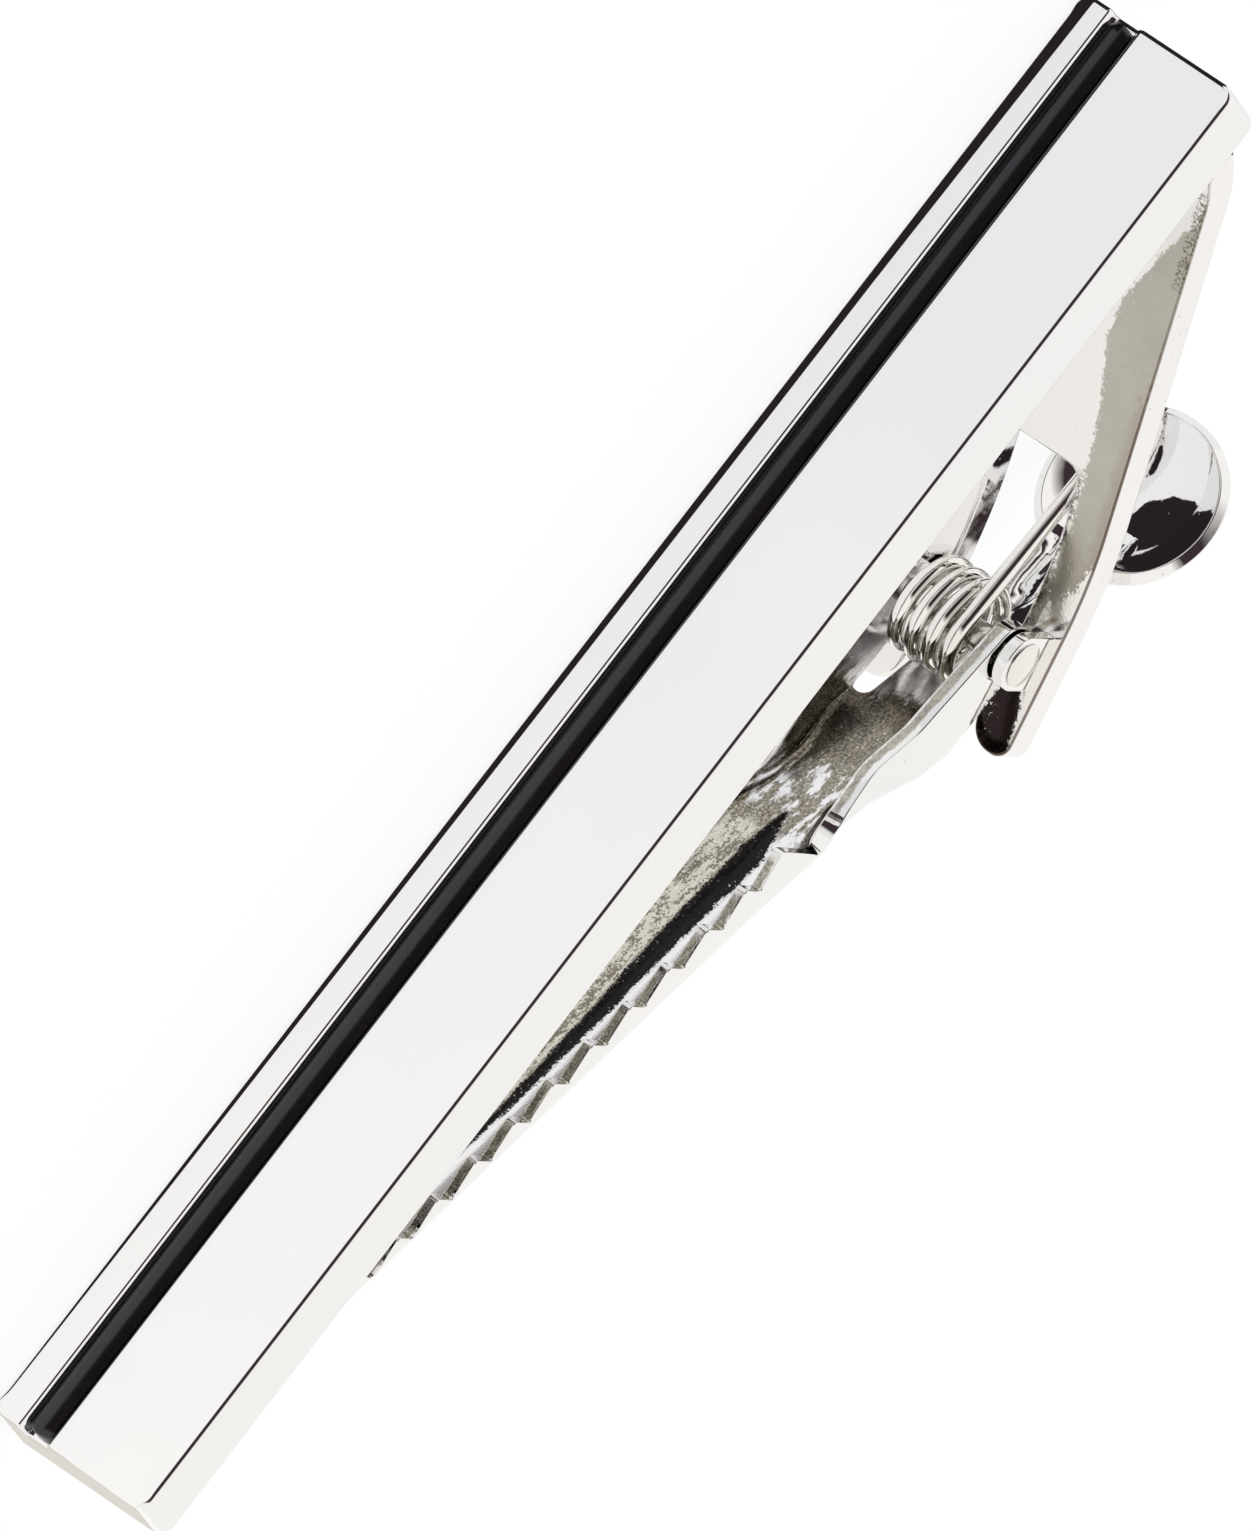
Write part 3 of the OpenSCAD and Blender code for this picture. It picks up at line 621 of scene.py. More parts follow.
TEETH, PITCH, DEPTH, FIRST, LAND = 11, 1.78, 0.72, 1.2, 0.14
STEEP, TOOTH_R = 0.3 * PITCH, 0.08
bite = unit(NOSE - HEEL)
into = np.array([-bite[1], bite[0]])
roots = HEEL + (FIRST + PITCH * np.arange(TEETH))[:, None] * bite
notches = np.stack([roots - (PITCH - STEEP - LAND) * bite, roots + DEPTH * into,
                    roots + STEEP * bite], 1).reshape(-1, 2)
toothed = unfold(np.concatenate([[HEEL], notches]))
ROOT_A, ROOT_STEP = float(toothed[2, 0]), float(np.diff(toothed[2::3, 0]).mean())

WAIST = np.array([[24.1, 1.86], [25.2, 2.1]])
NOSE_HALF, nose_end = 1.3, NOSE[0] - 0.12
jaw_corners = np.concatenate([ear_edge[-1:], unfold(CREST[None]), WAIST, toothed,
                              [[nose_end, NOSE_HALF], [nose_end, 0.0]]])
jaw_radii = np.concatenate([[0.1, 1.4, 1.2, 0.5, 0.35], np.full(3 * TEETH, TOOTH_R), [0.6, 0.1]])
jaw_edge = soft_chain(jaw_corners, jaw_radii)

side_edge = np.concatenate([pad_edge, neck_fillet[:-1], relief[:-1], ear_edge[:-1], jaw_edge])
lower, upper = side_edge * [1, -1], side_edge[::-1][1:-1]
lever_blank = dense(np.concatenate([lower, upper]), 0.25)
hole = unfold(arc(PIN, HOLE_R, 0, 2 * np.pi, 41)[:-1])


def signed_area(loop):
    """Half the sum of x y' - x' y over neighbours: positive where the loop runs counter-clockwise."""
    x, y = loop.T
    return 0.5 * (x * np.roll(y, -1) - np.roll(x, -1) * y).sum()


holes = [l if signed_area(l) < 0 else l[::-1] for l in (hole, hole * [1, -1])]
print("blank area in mm2:", round(signed_area(lever_blank), 2), "outline points", len(lever_blank))

# %% Press the lever
COIN, BAR_GAP, BOX_GAP = 0.2, 0.04, 0.001
PAD_TO, PAD_RUN, JAW_FROM, JAW_RUN, FLANGE_FROM, FLANGE_RUN = 12.6, 1.5, 24.6, 1.2, 1.1, 0.7


def thinned(blank):
    """The press coins the sheet thinner round the pad and along the toothed edges."""
    a, y = blank[:, 0], np.abs(blank[:, 1])
    jaw = eased((a - JAW_FROM) / JAW_RUN) * eased((y - FLANGE_FROM) / FLANGE_RUN)
    return COIN * (eased((PAD_TO - a) / PAD_RUN) + jaw)


lever_shell = press([lever_blank] + holes, lever_surface, SHEET, 0.06, 0.22, thinned)
deepest = (cad_hi.y - bar_lo.y) / MM - BOX_GAP
lever_shell[0][:, 1] = np.clip(lever_shell[0][:, 1], BAR_T + BAR_GAP, deepest)
lever = add_pressed("jaw_lever_pressed", [lever_shell], "lever", ["jaw_lever"])

# %% [markdown]
# ## The pivot pin
# The pin is a rivet: a straight shank whose two ends are closed into low domes over the ears.

# %% A rivet with domed heads
def turned(radius, across, centre, sides=48):
    """A profile (radius, w) turned round the pin's axis: r cos t and r sin t at each w."""
    t = np.linspace(0, 2 * np.pi, sides, endpoint=False)
    ring = np.stack([np.cos(t), np.sin(t)], 1)
    sd = centre + radius[:, None, None] * ring[None]
    return np.concatenate([sd, np.broadcast_to(across[:, None, None], sd.shape[:2] + (1,))], 2)


def rivet():
    """One head's profile runs up the edge and over a dome whose height is 1 - (r / R)^2."""
    head_r, shank_r, base, rise, edge, soft = 0.75, 0.5, 2.86, 0.17, 0.04, 0.02
    r = head_r * np.sin(np.linspace(0.02, np.pi / 2, 14))
    dome = base + edge + (rise - edge) * (1 - (r / head_r) ** 2)
    profile_r = np.concatenate([r, [head_r, head_r - soft, shank_r]])
    profile_w = np.concatenate([dome, [base + soft, base, base - soft / 2]])
    return turned(np.concatenate([profile_r, profile_r[::-1]]),
                  np.concatenate([profile_w, -profile_w[::-1]]), PIN)


pin_points, pin_faces = loft(rivet())
pin = add_piece("pivot_pin_riveted", pin_points, pin_faces, "root", ["pivot_pin"])

# %% [markdown]
# ## The brazed seam
# Silver solder climbs into the corner between two parts and freezes with a hollow face. Its
# edge is never straight, so the legs of the fillet waver a little across the width.

# %% Hollow fillets at the arm's foot
SEAM_MARGIN, RUN_OUT_AT, RUN_OUT = 0.22, 0.2, 0.5
LEGS = ((1, 0.24), (-1, 0.35))     # the side of the foot, and how long the fillet's legs are


def fillet(corner, leg, lean_angle, direction):
    """Section: a corner and a hollow quarter from the bar to the arm; the legs waver as a sum of
    two sines along w and run out at both ends."""
    w = np.linspace(SEAM_MARGIN - HALF_W, HALF_W - SEAM_MARGIN, 60)
    legs = leg * (1 + 0.1 * np.sin(3.1 * w + 1) + 0.06 * np.sin(8.3 * w))[:, None]
    legs *= np.sqrt(np.clip((HALF_W - RUN_OUT_AT - np.abs(w)) / RUN_OUT, 0.02, 1))[:, None]
    t = np.linspace(0, 1, 9)[None]
    up = np.array([math.cos(lean_angle), math.sin(lean_angle)])
    out = np.array([direction, 0.0])
    weight_out, weight_up = (1 - t) ** 2, t ** 2
    s = corner[0] + legs * (weight_out * out[0] + weight_up * up[0])
    d = corner[1] + legs * (weight_out * out[1] + weight_up * up[1])
    s = np.concatenate([np.full((len(w), 1), corner[0]), s], 1)
    d = np.concatenate([np.full((len(w), 1), corner[1]), d], 1)
    loops = np.stack([s, d, np.broadcast_to(w[:, None], s.shape)], 2)
    return loops if direction < 0 else loops[:, ::-1]


foot_rise = math.radians(FOOT_ANGLE)
seams = [loft(fillet(ARM_FOOT + [side * FOOT_HALF, 0], leg, foot_rise, side)) for side, leg in LEGS]
seam_points = np.concatenate([points for points, _ in seams])
seam_faces = facing_out(*seams[0]) + [[i + len(seams[0][0]) for i in f]
                                      for f in facing_out(*seams[1])]
seam = add_piece("braze_seam_hollow", seam_points, seam_faces, "root", ["braze_seam"])

# %% [markdown]
# ## The torsion spring
# The photograph shows four turns of bright wire. The coil is a helix round the pin that creeps
# across the slot. One straight leg lies on the arm and the other on the neck. The turns wind
# up as the lever opens.

# %% Wire along a helix with two legs
WIRE_R, COIL_R, COIL_HALF, BLEND_HALF = 0.275, 1.505, 1.17, 0.85
NECK_ANGLE, NECK_LEG = 37, 4.95
ARM_LEG_ANGLE, ARM_LEG, FULL_TURNS = 3, 7.4, 3
COIL_FROM = math.radians(NECK_ANGLE - 90)
COIL_TO = math.radians(90 + ARM_LEG_ANGLE + FULL_TURNS * 360)


def leg_way(degrees):
    """The way of a straight leg: back along the clip, and away from the bar by an angle."""
    angle = math.radians(degrees)
    return np.array([-math.cos(angle), math.sin(angle), 0])


def wire_line():
    """Helix: angle and w both grow evenly. Each leg leaves the coil at a tangent."""
    t = np.linspace(0, 1, 200)[:, None]
    angle = COIL_FROM + t * (COIL_TO - COIL_FROM)
    coil = np.concatenate([PIN[0] + COIL_R * np.cos(angle), PIN[1] - COIL_R * np.sin(angle),
                           (t - 0.5) * 2 * COIL_HALF], 1)
    reach = np.concatenate([1 - np.geomspace(1, 0.04, 24), [1.0]])[:, None]
    neck_leg = coil[0] + NECK_LEG * reach[::-1] * leg_way(NECK_ANGLE)
    arm_leg = coil[-1] + ARM_LEG * reach * leg_way(ARM_LEG_ANGLE)
    return np.concatenate([neck_leg[:-1], coil, arm_leg[1:]])


def tube(line, radius, sides=16):
    """Rings square to the line; the radius closes as a circle over the last radius at both ends."""
    step = np.linalg.norm(np.diff(line, axis=0), axis=1)
    length = np.concatenate([[0], np.cumsum(step)])
    first_turn, clear, tiny = 0.15, 1.3 * radius, 1e-6
    ends = radius * (1 - np.cos(np.linspace(first_turn, np.pi / 2, 6)))
    at = np.unique(np.concatenate([ends, length[1:-1], length[-1] - ends]).round(5))
    at = at[(at < ends[-1] + tiny) | ((at > clear) & (at < length[-1] - clear))
            | (at > length[-1] - ends[-1] - tiny)]
    path = np.stack([np.interp(at, length, line[:, k]) for k in range(3)], 1)
    tangent = unit(np.gradient(path, axis=0))
    side = unit(np.array([0, 0, 1.0]) - tangent[:, 2:] * tangent)
    other = np.cross(tangent, side)
    gap = np.clip(np.minimum(at, length[-1] - at) / radius, 0, 1)
    r = radius * np.sqrt(1 - (1 - gap) ** 2)
    t = np.linspace(0, 2 * np.pi, sides, endpoint=False)
    ring = np.cos(t)[None, :, None] * side[:, None] + np.sin(t)[None, :, None] * other[:, None]
    return path[:, None] + r[:, None, None] * ring


wire_points, wire_faces = loft(tube(wire_line(), WIRE_R))
spring = add_piece("torsion_spring_wire", wire_points, wire_faces, None,
                   ["torsion_spring"])
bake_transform(spring)

# %% [markdown]
# ## Shader maths in plain expressions
# A wrapped socket understands + - * / and abs, so a mask reads as it is spoken: 1 - mask.

# %% Sockets that can be added and multiplied
class Value:
    """A node's output socket. Each operator adds one Math node to the same tree."""

    def __init__(self, tree, socket):
        self.tree, self.socket = tree, socket

    def _math(self, operation, *numbers):
        node = self.tree.nodes.new("ShaderNodeMath")
        node.operation = operation
        for slot_in, value in zip(node.inputs, numbers):
            if isinstance(value, Value):
                self.tree.links.new(value.socket, slot_in)
            else:
                slot_in.default_value = value
        return Value(self.tree, node.outputs[0])

    def operator(operation, swapped=False):
        """A method that adds one node for self and other, or the other way round."""
        def method(self, other):
            return self._math(operation, *((other, self) if swapped else (self, other)))
        return method

    __add__, __radd__ = operator("ADD"), operator("ADD", swapped=True)
    __sub__, __rsub__ = operator("SUBTRACT"), operator("SUBTRACT", swapped=True)
    __mul__, __rmul__ = operator("MULTIPLY"), operator("MULTIPLY", swapped=True)
    __truediv__ = operator("DIVIDE")

    def __abs__(self):
        return self._math("ABSOLUTE", self)


class Finish:
    """A node tree with one method that adds any node: its type, its settings, then its sockets."""

    def __init__(self, tree):
        self.tree = tree

    def node(self, kind, output=0, settings=(), stops=(), **sockets):
        """Returns one output, by number or name, or all of them where `output` is None. A socket
        is called by its name, or by `in` and its number. Stops are a ramp's (place, grey) pairs."""
        made = self.tree.nodes.new(kind)
        for name, value in dict(settings).items():
            setattr(made, name, value)
        if stops:
            points = made.color_ramp.elements
            while len(points) < len(stops):
                points.new(0.5)
            for point, (at, grey) in zip(points, stops):
                point.position, point.color = at, (grey, grey, grey, 1)
        for name, value in sockets.items():
            number = name[2:]
            slot_in = made.inputs[int(number) if number.isdigit() else name.replace("_", " ")]
            if isinstance(value, Value):
                self.tree.links.new(value.socket, slot_in)
            else:
                slot_in.default_value = value
        if output is None:
            return [Value(self.tree, socket) for socket in made.outputs]
        return Value(self.tree, made.outputs[output]) if made.outputs else None

    def ramp(self, fac, stops):
        """A grey ramp through (place, grey) stops."""
        return self.node("ShaderNodeValToRGB", stops=stops, in0=fac)

    def chart(self, value, points):
        """A straight-line chart from value to height through (value, height) points."""
        xs, ys = [p[0] for p in points], [p[1] for p in points]
        wide, low, tall = max(xs) - min(xs), min(ys), max(ys) - min(ys)
        stops = [((x - min(xs)) / wide, (y - low) / tall) for x, y in points]
        return self.ramp((value - min(xs)) / wide, stops) * tall + low

    def share(self, distance, soft=0.05):
        """0 outside and 1 inside an edge, with a soft step as wide as `soft`."""
        return self.ramp(distance / soft + 0.5, [(0.0, 0.0), (1.0, 1.0)])

    def mix(self, share, first, second):
        """Two colours mixed by a share. A plain colour gets its alpha of 1 here."""
        first, second = (c if isinstance(c, Value) else (*c, 1) for c in (first, second))
        return self.node("ShaderNodeMix", 2, {"data_type": "RGBA"}, in0=share, in6=first, in7=second)

    def coats(self, tint, layers):
        """Colours laid over a tint one after another, each through its own mask."""
        for mask, colour in layers:
            tint = self.mix(mask, tint, colour)
        return tint

    def noise(self, at, scale, detail=2.0, roughness=0.5):
        """Noise with `scale` blobs to a millimetre, because `at` is in millimetres."""
        return self.node("ShaderNodeTexNoise", 0, Vector=at, Scale=scale, Detail=detail,
                         Roughness=roughness)

    def in_mm(self):
        """Object coordinates in millimetres."""
        coords = self.node("ShaderNodeTexCoord", "Object")
        return self.node("ShaderNodeVectorMath", 0, {"operation": "SCALE"}, in0=coords, Scale=1 / MM)

    def drive(self, shader, **sockets):
        """Links values to a shader's sockets."""
        for name, value in sockets.items():
            self.tree.links.new(value.socket, shader.inputs[name.replace("_", " ")])


def new_finish(name):
    """A new material with the usual shader, and the Finish that adds nodes to it."""
    material = bpy.data.materials.new(name)
    material.use_nodes = True
    return material, Finish(material.node_tree), material.node_tree.nodes["Principled BSDF"]


# %% [markdown]
# ## Bright plating
# Bright plating is a mirror whose colour is nearly white. What makes it look real is small:
# a faint orange-peel swell from tumbling, cloudy changes of warmth, a few pits and a haze of
# finer roughness. Hidden inner faces were never polished, so they are rougher and duller. On
# the arm and the lever, painted reflections and painted shade lie in the colour as well.

# %% The plated finishes
def plated(name, colour, warm, rough=0.03, swell=0.01, grain=0.0, pits=0.0, paint=None):
    """Metal whose colour drifts between two tints, with a swell so many mm high. `paint` adds
    a piece's painted reflections, painted shade and marks: it returns the new tint, roughness
    and height."""
    material, f, shader = new_finish(name)
    at = f.in_mm()
    cloud = f.ramp(f.noise(at, 0.18, 3.0), [(0.35, 0.0), (0.65, 1.0)])
    tint = f.mix(cloud, colour, warm)
    roughness = rough * (0.7 + f.noise(at, 2.3, 4.0, 0.6) * 0.6)
    height = f.noise(at, 0.7)
    if grain:
        height = height + f.noise(at, 9.0, 3.0, 0.6) * grain
    if pits:
        spots = f.ramp(f.noise(at, 5.5, 1.0), [(0.2, 1.0), (0.27, 0.0)])
        tint = f.mix(spots * pits, tint, (0.25, 0.22, 0.19))
        roughness = roughness + spots * 0.3
    if paint:
        plan = f.node("ShaderNodeAttribute", "Vector", {"attribute_name": "plan"})
        blank = f.node("ShaderNodeSeparateXYZ", None, in0=plan)
        tint, roughness, height = paint(f, at, *blank, tint, roughness, height)
    shader.inputs["Metallic"].default_value = 1.0
    f.drive(shader, Base_Color=tint, Roughness=roughness,
            Normal=f.node("ShaderNodeBump", 0, Height=height, Strength=1.0, Distance=swell * MM))
    print(name, "uses", len(f.tree.nodes), "nodes")
    return material


# Colours of the painted reflections and painted shade on the arm and the lever: cream, bright glints,
# dark browns for shade, and black.
CREAM, GLINT_CREAM, SHADE_BROWN, SHADE_DEEP, PITCH_BLACK = (
    (0.90, 0.875, 0.835), (0.96, 0.94, 0.90), (0.16, 0.13, 0.09), (0.13, 0.10, 0.08),
    (0.028, 0.02, 0.02))


def arm_painted_light(f, at, a, y, side, tint, rough, height):
    """The arm's inner face carries painted reflections: cream over all of it, and a rougher grey-beige
    zone with a ragged border, brown streaks and bright painted glints along that border. Painted
    dark brown shade lies near the foot and beside the slot, a painted black reflection covers one
    prong near its tip, and a thin dark painted reflection runs along the rounded edge."""
    strip = f.share(5.0 - y, 0.5)
    inner = f.share(side - 0.95, 0.06) * strip
    torn = f.noise(at, 3.4, 6.0, 0.75) - 0.5
    fine = f.noise(at, 11.0, 3.0, 0.6) - 0.5
    # The grey-beige zone is a painted reflection, bounded by these two charts.
    left = f.chart(a, [(0, 3.2), (2.15, 2.95), (2.7, 2.6), (3.5, 2.25), (4.05, 1.95), (6.0, 1.2),
                       (7.65, 1.05), (8.5, 1.3), (9.6, 1.5), (10.6, 1.65), (13, 1.8), (22, 1.8)])
    end = f.chart(y, [(1.4, 17.3), (1.9, 16.8), (2.45, 16.6), (2.7, 16.1), (2.9, 15.5), (3.15, 14.5)])
    border = y - left + torn * 0.8
    grey = f.share(border, 0.06) * f.share(end - a + torn * 2.4 + fine * 2.0, 0.12)
    # A painted black reflection over one prong near its tip.
    tip = f.chart(a, [(18.0, 1.4), (18.5, 2.0), (19.4, 2.45), (20.2, 2.8), (21.4, 3.0), (22, 3.1)])
    dark = f.share(tip - y + torn * 0.5 + fine * 0.25, 0.06) * f.share(a - 18.25 + torn * 0.6, 0.1)
    dark = dark * f.share(y - 1.2, 0.1)
    # Painted dark brown shade in the corner near the foot, speckled.
    foot_shade = f.share(y - 2.72 + torn * 0.5, 0.1) * f.share(4.6 - a + torn, 0.3) * f.share(a - 0.9, 0.5)
    # Painted shade beside the slot, where the spring and the neck pass.
    slot_side = f.share(1.75 - y + torn * 0.5, 0.08) * f.share(y - 1.2, 0.1) * f.share(a - 12.3, 0.5)
    # A thin dark painted reflection along the rounded edge.
    line = f.ramp(side, [(0.905, 0.0), (0.930, 1.0), (0.985, 1.0), (1.0, 0.0)]) * strip
    line = line * f.share(y - 2.6, 0.2) * f.ramp(a * 0.05 + torn * 0.5, [(0.1, 0.35), (0.5, 1.0)])
    # A brown painted reflection inside the grey-beige zone.
    brown_reflection = f.share(y - 2.75 + torn * 0.8, 0.25) * f.share(a - 8.5 + torn * 8.0, 1.5) * 0.3
    # Bright painted glints, crowded along the grey-beige zone's border.
    close = f.ramp(border * 0.5 + 0.5, [(0.40, 0.0), (0.50, 1.0), (0.56, 1.0), (0.85, 0.0)])
    glint_flecks = f.share(torn * 0.9 + fine * 0.7 - 0.25 + close * 0.11, 0.02)
    # The grey-beige colour of the painted reflection.
    grey_reflection_colour = f.mix(f.noise(at, 0.5, 3.0), (0.43, 0.405, 0.345), (0.56, 0.535, 0.475))
    # Layers: the cream painted reflection, the grey-beige and brown painted reflections, painted
    # glints, painted shade near the foot and beside the slot, the painted black tip and the dark
    # painted edge line.
    tint = f.coats(tint, [
        (inner * 0.8, CREAM),
        (inner * grey, grey_reflection_colour),
        (inner * brown_reflection * grey, (0.30, 0.22, 0.18)),
        (inner * glint_flecks * 0.85, GLINT_CREAM),
        (inner * foot_shade * f.share(fine - 0.02, 0.05) * 0.85, SHADE_BROWN),
        (inner * slot_side * f.share(fine + 0.03, 0.05) * 0.75, SHADE_DEEP),
        (inner * dark * (1.0 - glint_flecks * 0.8), PITCH_BLACK),
        (line * 0.85, (0.12, 0.08, 0.062))])
    return tint, rough + inner * (grey * 0.14 + 0.02), height + inner * fine * 0.25


def lever_tear_and_painted_light(f, at, a, y, side, tint, rough, height):
    """The channel's inside, a mottled grey, carries painted reflections: a black streak with painted
    glints and a pale painted edge runs down it beside a brown, grainy painted reflection, and
    behind the waist lies a dark brown painted reflection. Painted brown shade mottles the rims
    round the flanges, and a thin dark painted reflection runs along the pad's rim. The punched
    teeth keep a brown, matt tear in the middle of the sheet between two bright edges."""
    drawn = f.node("ShaderNodeCombineXYZ", 0, X=a * 0.4, Y=y, Z=side * 0.1)
    torn = f.noise(drawn, 3.2, 6.0, 0.75) - 0.5
    fine = f.noise(at, 12.0, 3.0, 0.65) - 0.5
    wall = f.share(side - 0.2, 0.1) * f.share(a - 24.6, 0.4) * f.share(1.5 - y, 0.5)
    inner = f.share(side - 0.93, 0.06) + wall
    inner = f.ramp(inner, [(0.0, 0.0), (1.0, 1.0)]) * f.share(a - 17.4, 0.6)
    middle = f.chart(a, [(23.6, 0.0), (25.1, 0.25), (26.6, 0.43), (30.4, 0.55), (34.7, 0.85),
                         (37.4, 0.93), (42, 1.02)])
    wide = f.chart(a, [(24.2, -0.1), (25.2, 0.22), (26.2, 0.44), (30, 0.37), (34, 0.27), (38, 0.15),
                       (41.5, -0.05), (42, -0.1)])
    off = y - middle
    beyond = abs(off) - wide
    # The black streak is a painted reflection with a ragged edge.
    black = f.share(0.0 - beyond + torn * 0.6 + fine * 0.42, 0.05)
    # The brown, grainy band beside the streak is a painted reflection.
    brown = f.share(0.0 - off + torn * 0.5, 0.1) * f.share(y + 1.9, 0.2) * f.share(a - 24.8 + torn, 0.4)
    brown = brown * f.share(44.5 - a + torn * 2.0, 1.0)
    # Behind the waist, a dark brown painted reflection.
    patch = f.share(1.75 - abs(a - 20.9 + y * 0.35) + torn * 3.2, 0.25)
    patch = patch + f.share(a - 22.2, 1.0) * f.share(25.4 - a, 0.5) * f.share(torn + 0.02, 0.06)
    patch = f.ramp(patch, [(0.0, 0.0), (1.0, 1.0)])
    # A pale painted reflection along the streak's edge.
    pale = f.share(y - middle - wide - 0.08 + torn * 0.1, 0.06)
    # Bright painted glints near the streak.
    glint = f.share(fine + torn * 0.5 - 0.19, 0.03) * f.share(beyond + 0.22, 0.15)
    step = f.node("ShaderNodeMath", 0, {"operation": "FRACT"}, in0=(a - ROOT_A) / ROOT_STEP + 0.62)
    tear = f.ramp(step + torn * 0.25, [(0.05, 0.0), (0.2, 1.0), (0.66, 1.0), (0.8, 0.0)])
    tear = tear * f.share(0.42 - abs(side + 0.15) + torn * 0.8, 0.15) * f.share(a - 25.4, 0.3)
    # Painted brown shade, mottled, on the rims round the flanges.
    flank = f.share(0.9 - abs(side), 0.1) * f.share(a - 16.5, 0.5) * f.share(24.0 - a, 0.5)
    cut = f.share(0.45 - abs(side - 0.25) + torn * 1.1, 0.25)
    # A thin dark painted reflection along the pad's rim.
    line = f.ramp(side, [(0.3, 0.0), (0.5, 1.0), (0.8, 0.0)]) * f.share(13.4 - a, 0.4)
    # A mottled grey over the inner face.
    inner_mottle = f.mix(f.share(torn, 0.3), (0.86, 0.86, 0.885), (0.62, 0.61, 0.62))
    # Colour of the brown painted reflection.
    grain = f.mix(f.share(fine + torn * 1.6 + 0.03, 0.12), (0.15, 0.125, 0.08), (0.68, 0.65, 0.56))
    # Colour of the dark brown painted reflection behind the waist.
    patch_reflection_colour = f.mix(f.share(fine + torn * 0.5, 0.25), (0.07, 0.055, 0.035), (0.36, 0.325, 0.25))
    matt = f.mix(f.share(fine + torn * 0.5, 0.2), (0.24, 0.21, 0.155), (0.58, 0.545, 0.46))
    # Colour of the painted brown shade on the flanges' rims.
    edge = f.mix(f.share(fine + torn, 0.4), SHADE_BROWN, (0.50, 0.46, 0.38))
    # Layers: mottled grey, the pale, brown, dark brown and black painted reflections, painted glints,
    # the real tear, painted shade on the flanges' rims and the dark painted pad line.
    tint = f.coats(tint, [
        (inner * 0.8, inner_mottle),
        (inner * pale * 0.8, (0.92, 0.91, 0.92)),
        (inner * brown * 0.9, grain),
        (inner * patch * 0.92, patch_reflection_colour),
        (inner * black * 0.98, (0.004, 0.003, 0.004)),
        (inner * glint * 0.8, (0.95, 0.94, 0.91)),
        (tear * 0.9, matt),
        (flank * cut * 0.8, edge),
        (line * 0.5, (0.10, 0.09, 0.10))])
    rough = rough + inner * (1.0 - black) * 0.07 + tear * 0.2
    return tint, rough, height + (inner + tear) * (fine * 0.4 + torn * 0.7)


bar_plate = plated("bar_plate", (0.87, 0.872, 0.875), (0.89, 0.885, 0.878), 0.02, swell=0.002)
arm_plate = plated("arm_plate", (0.88, 0.87, 0.86), (0.91, 0.90, 0.885), 0.04, grain=0.1, pits=0.5,
                   paint=arm_painted_light)
lever_plate = plated("lever_plate", (0.87, 0.87, 0.87), (0.90, 0.89, 0.88), grain=0.05, pits=0.25,
                     paint=lever_tear_and_painted_light)
pin_plate = plated("pin_plate", (0.80, 0.77, 0.73), (0.88, 0.86, 0.82), 0.14, grain=0.4)
solder_plate = plated("solder_plate", (0.88, 0.87, 0.86), (0.91, 0.90, 0.88), 0.35, grain=0.4)
wire_plate = plated("wire_plate", (0.80, 0.78, 0.74), (0.90, 0.88, 0.85), 0.06, swell=0.004,
                    grain=0.3)


# %% [markdown]
# ## Black enamel
# Enamel is a dark glass: black underneath, with a clear gloss that mirrors a few per cent of
# the room. Dust and tiny bubbles show as paler points.

# %% The enamel finish
def enamel_finish():
    """Black with a soft drift to brown, and a gloss whose surface swells slightly."""
    material, f, shader = new_finish("black_enamel_gloss")
    at = f.in_mm()
    drift = f.ramp(f.noise(at, 0.4, 3.0), [(0.3, 0.0), (0.7, 1.0)])
    dust = f.ramp(f.noise(at, 14.0, 1.0), [(0.80, 0.0), (0.84, 1.0)])
    base = f.mix(drift, (0.004, 0.004, 0.005), (0.009, 0.006, 0.005))
    base = f.mix(dust * 0.5, base, (0.2, 0.2, 0.2))
    shader.inputs["IOR"].default_value = 1.55
    shader.inputs["Specular Tint"].default_value = (0.86, 0.94, 1.0, 1)
    f.drive(shader, Base_Color=base, Roughness=0.24 + f.noise(at, 3.0, 3.0) * 0.04,
            Normal=f.node("ShaderNodeBump", 0, Height=f.noise(at, 0.8), Strength=1.0,
                          Distance=0.006 * MM))
    return material


for piece, material in ((bar, bar_plate), (enamel, enamel_finish()), (arm, arm_plate),
                        (lever, lever_plate), (pin, pin_plate), (seam, solder_plate),
                        (spring, wire_plate)):
    piece.data.materials.append(material)

# %% [markdown]
# ## The light tent
# Polished metal shows the room and nothing else. The photographer used a white tent with a
# dark opening on the camera's side: flats mirror white paper and edges mirror the opening.
# The world gives mirror rays that room. Black, brown and beige cards near the clip, seen only
# by mirror rays, put painted reflections into the metal.

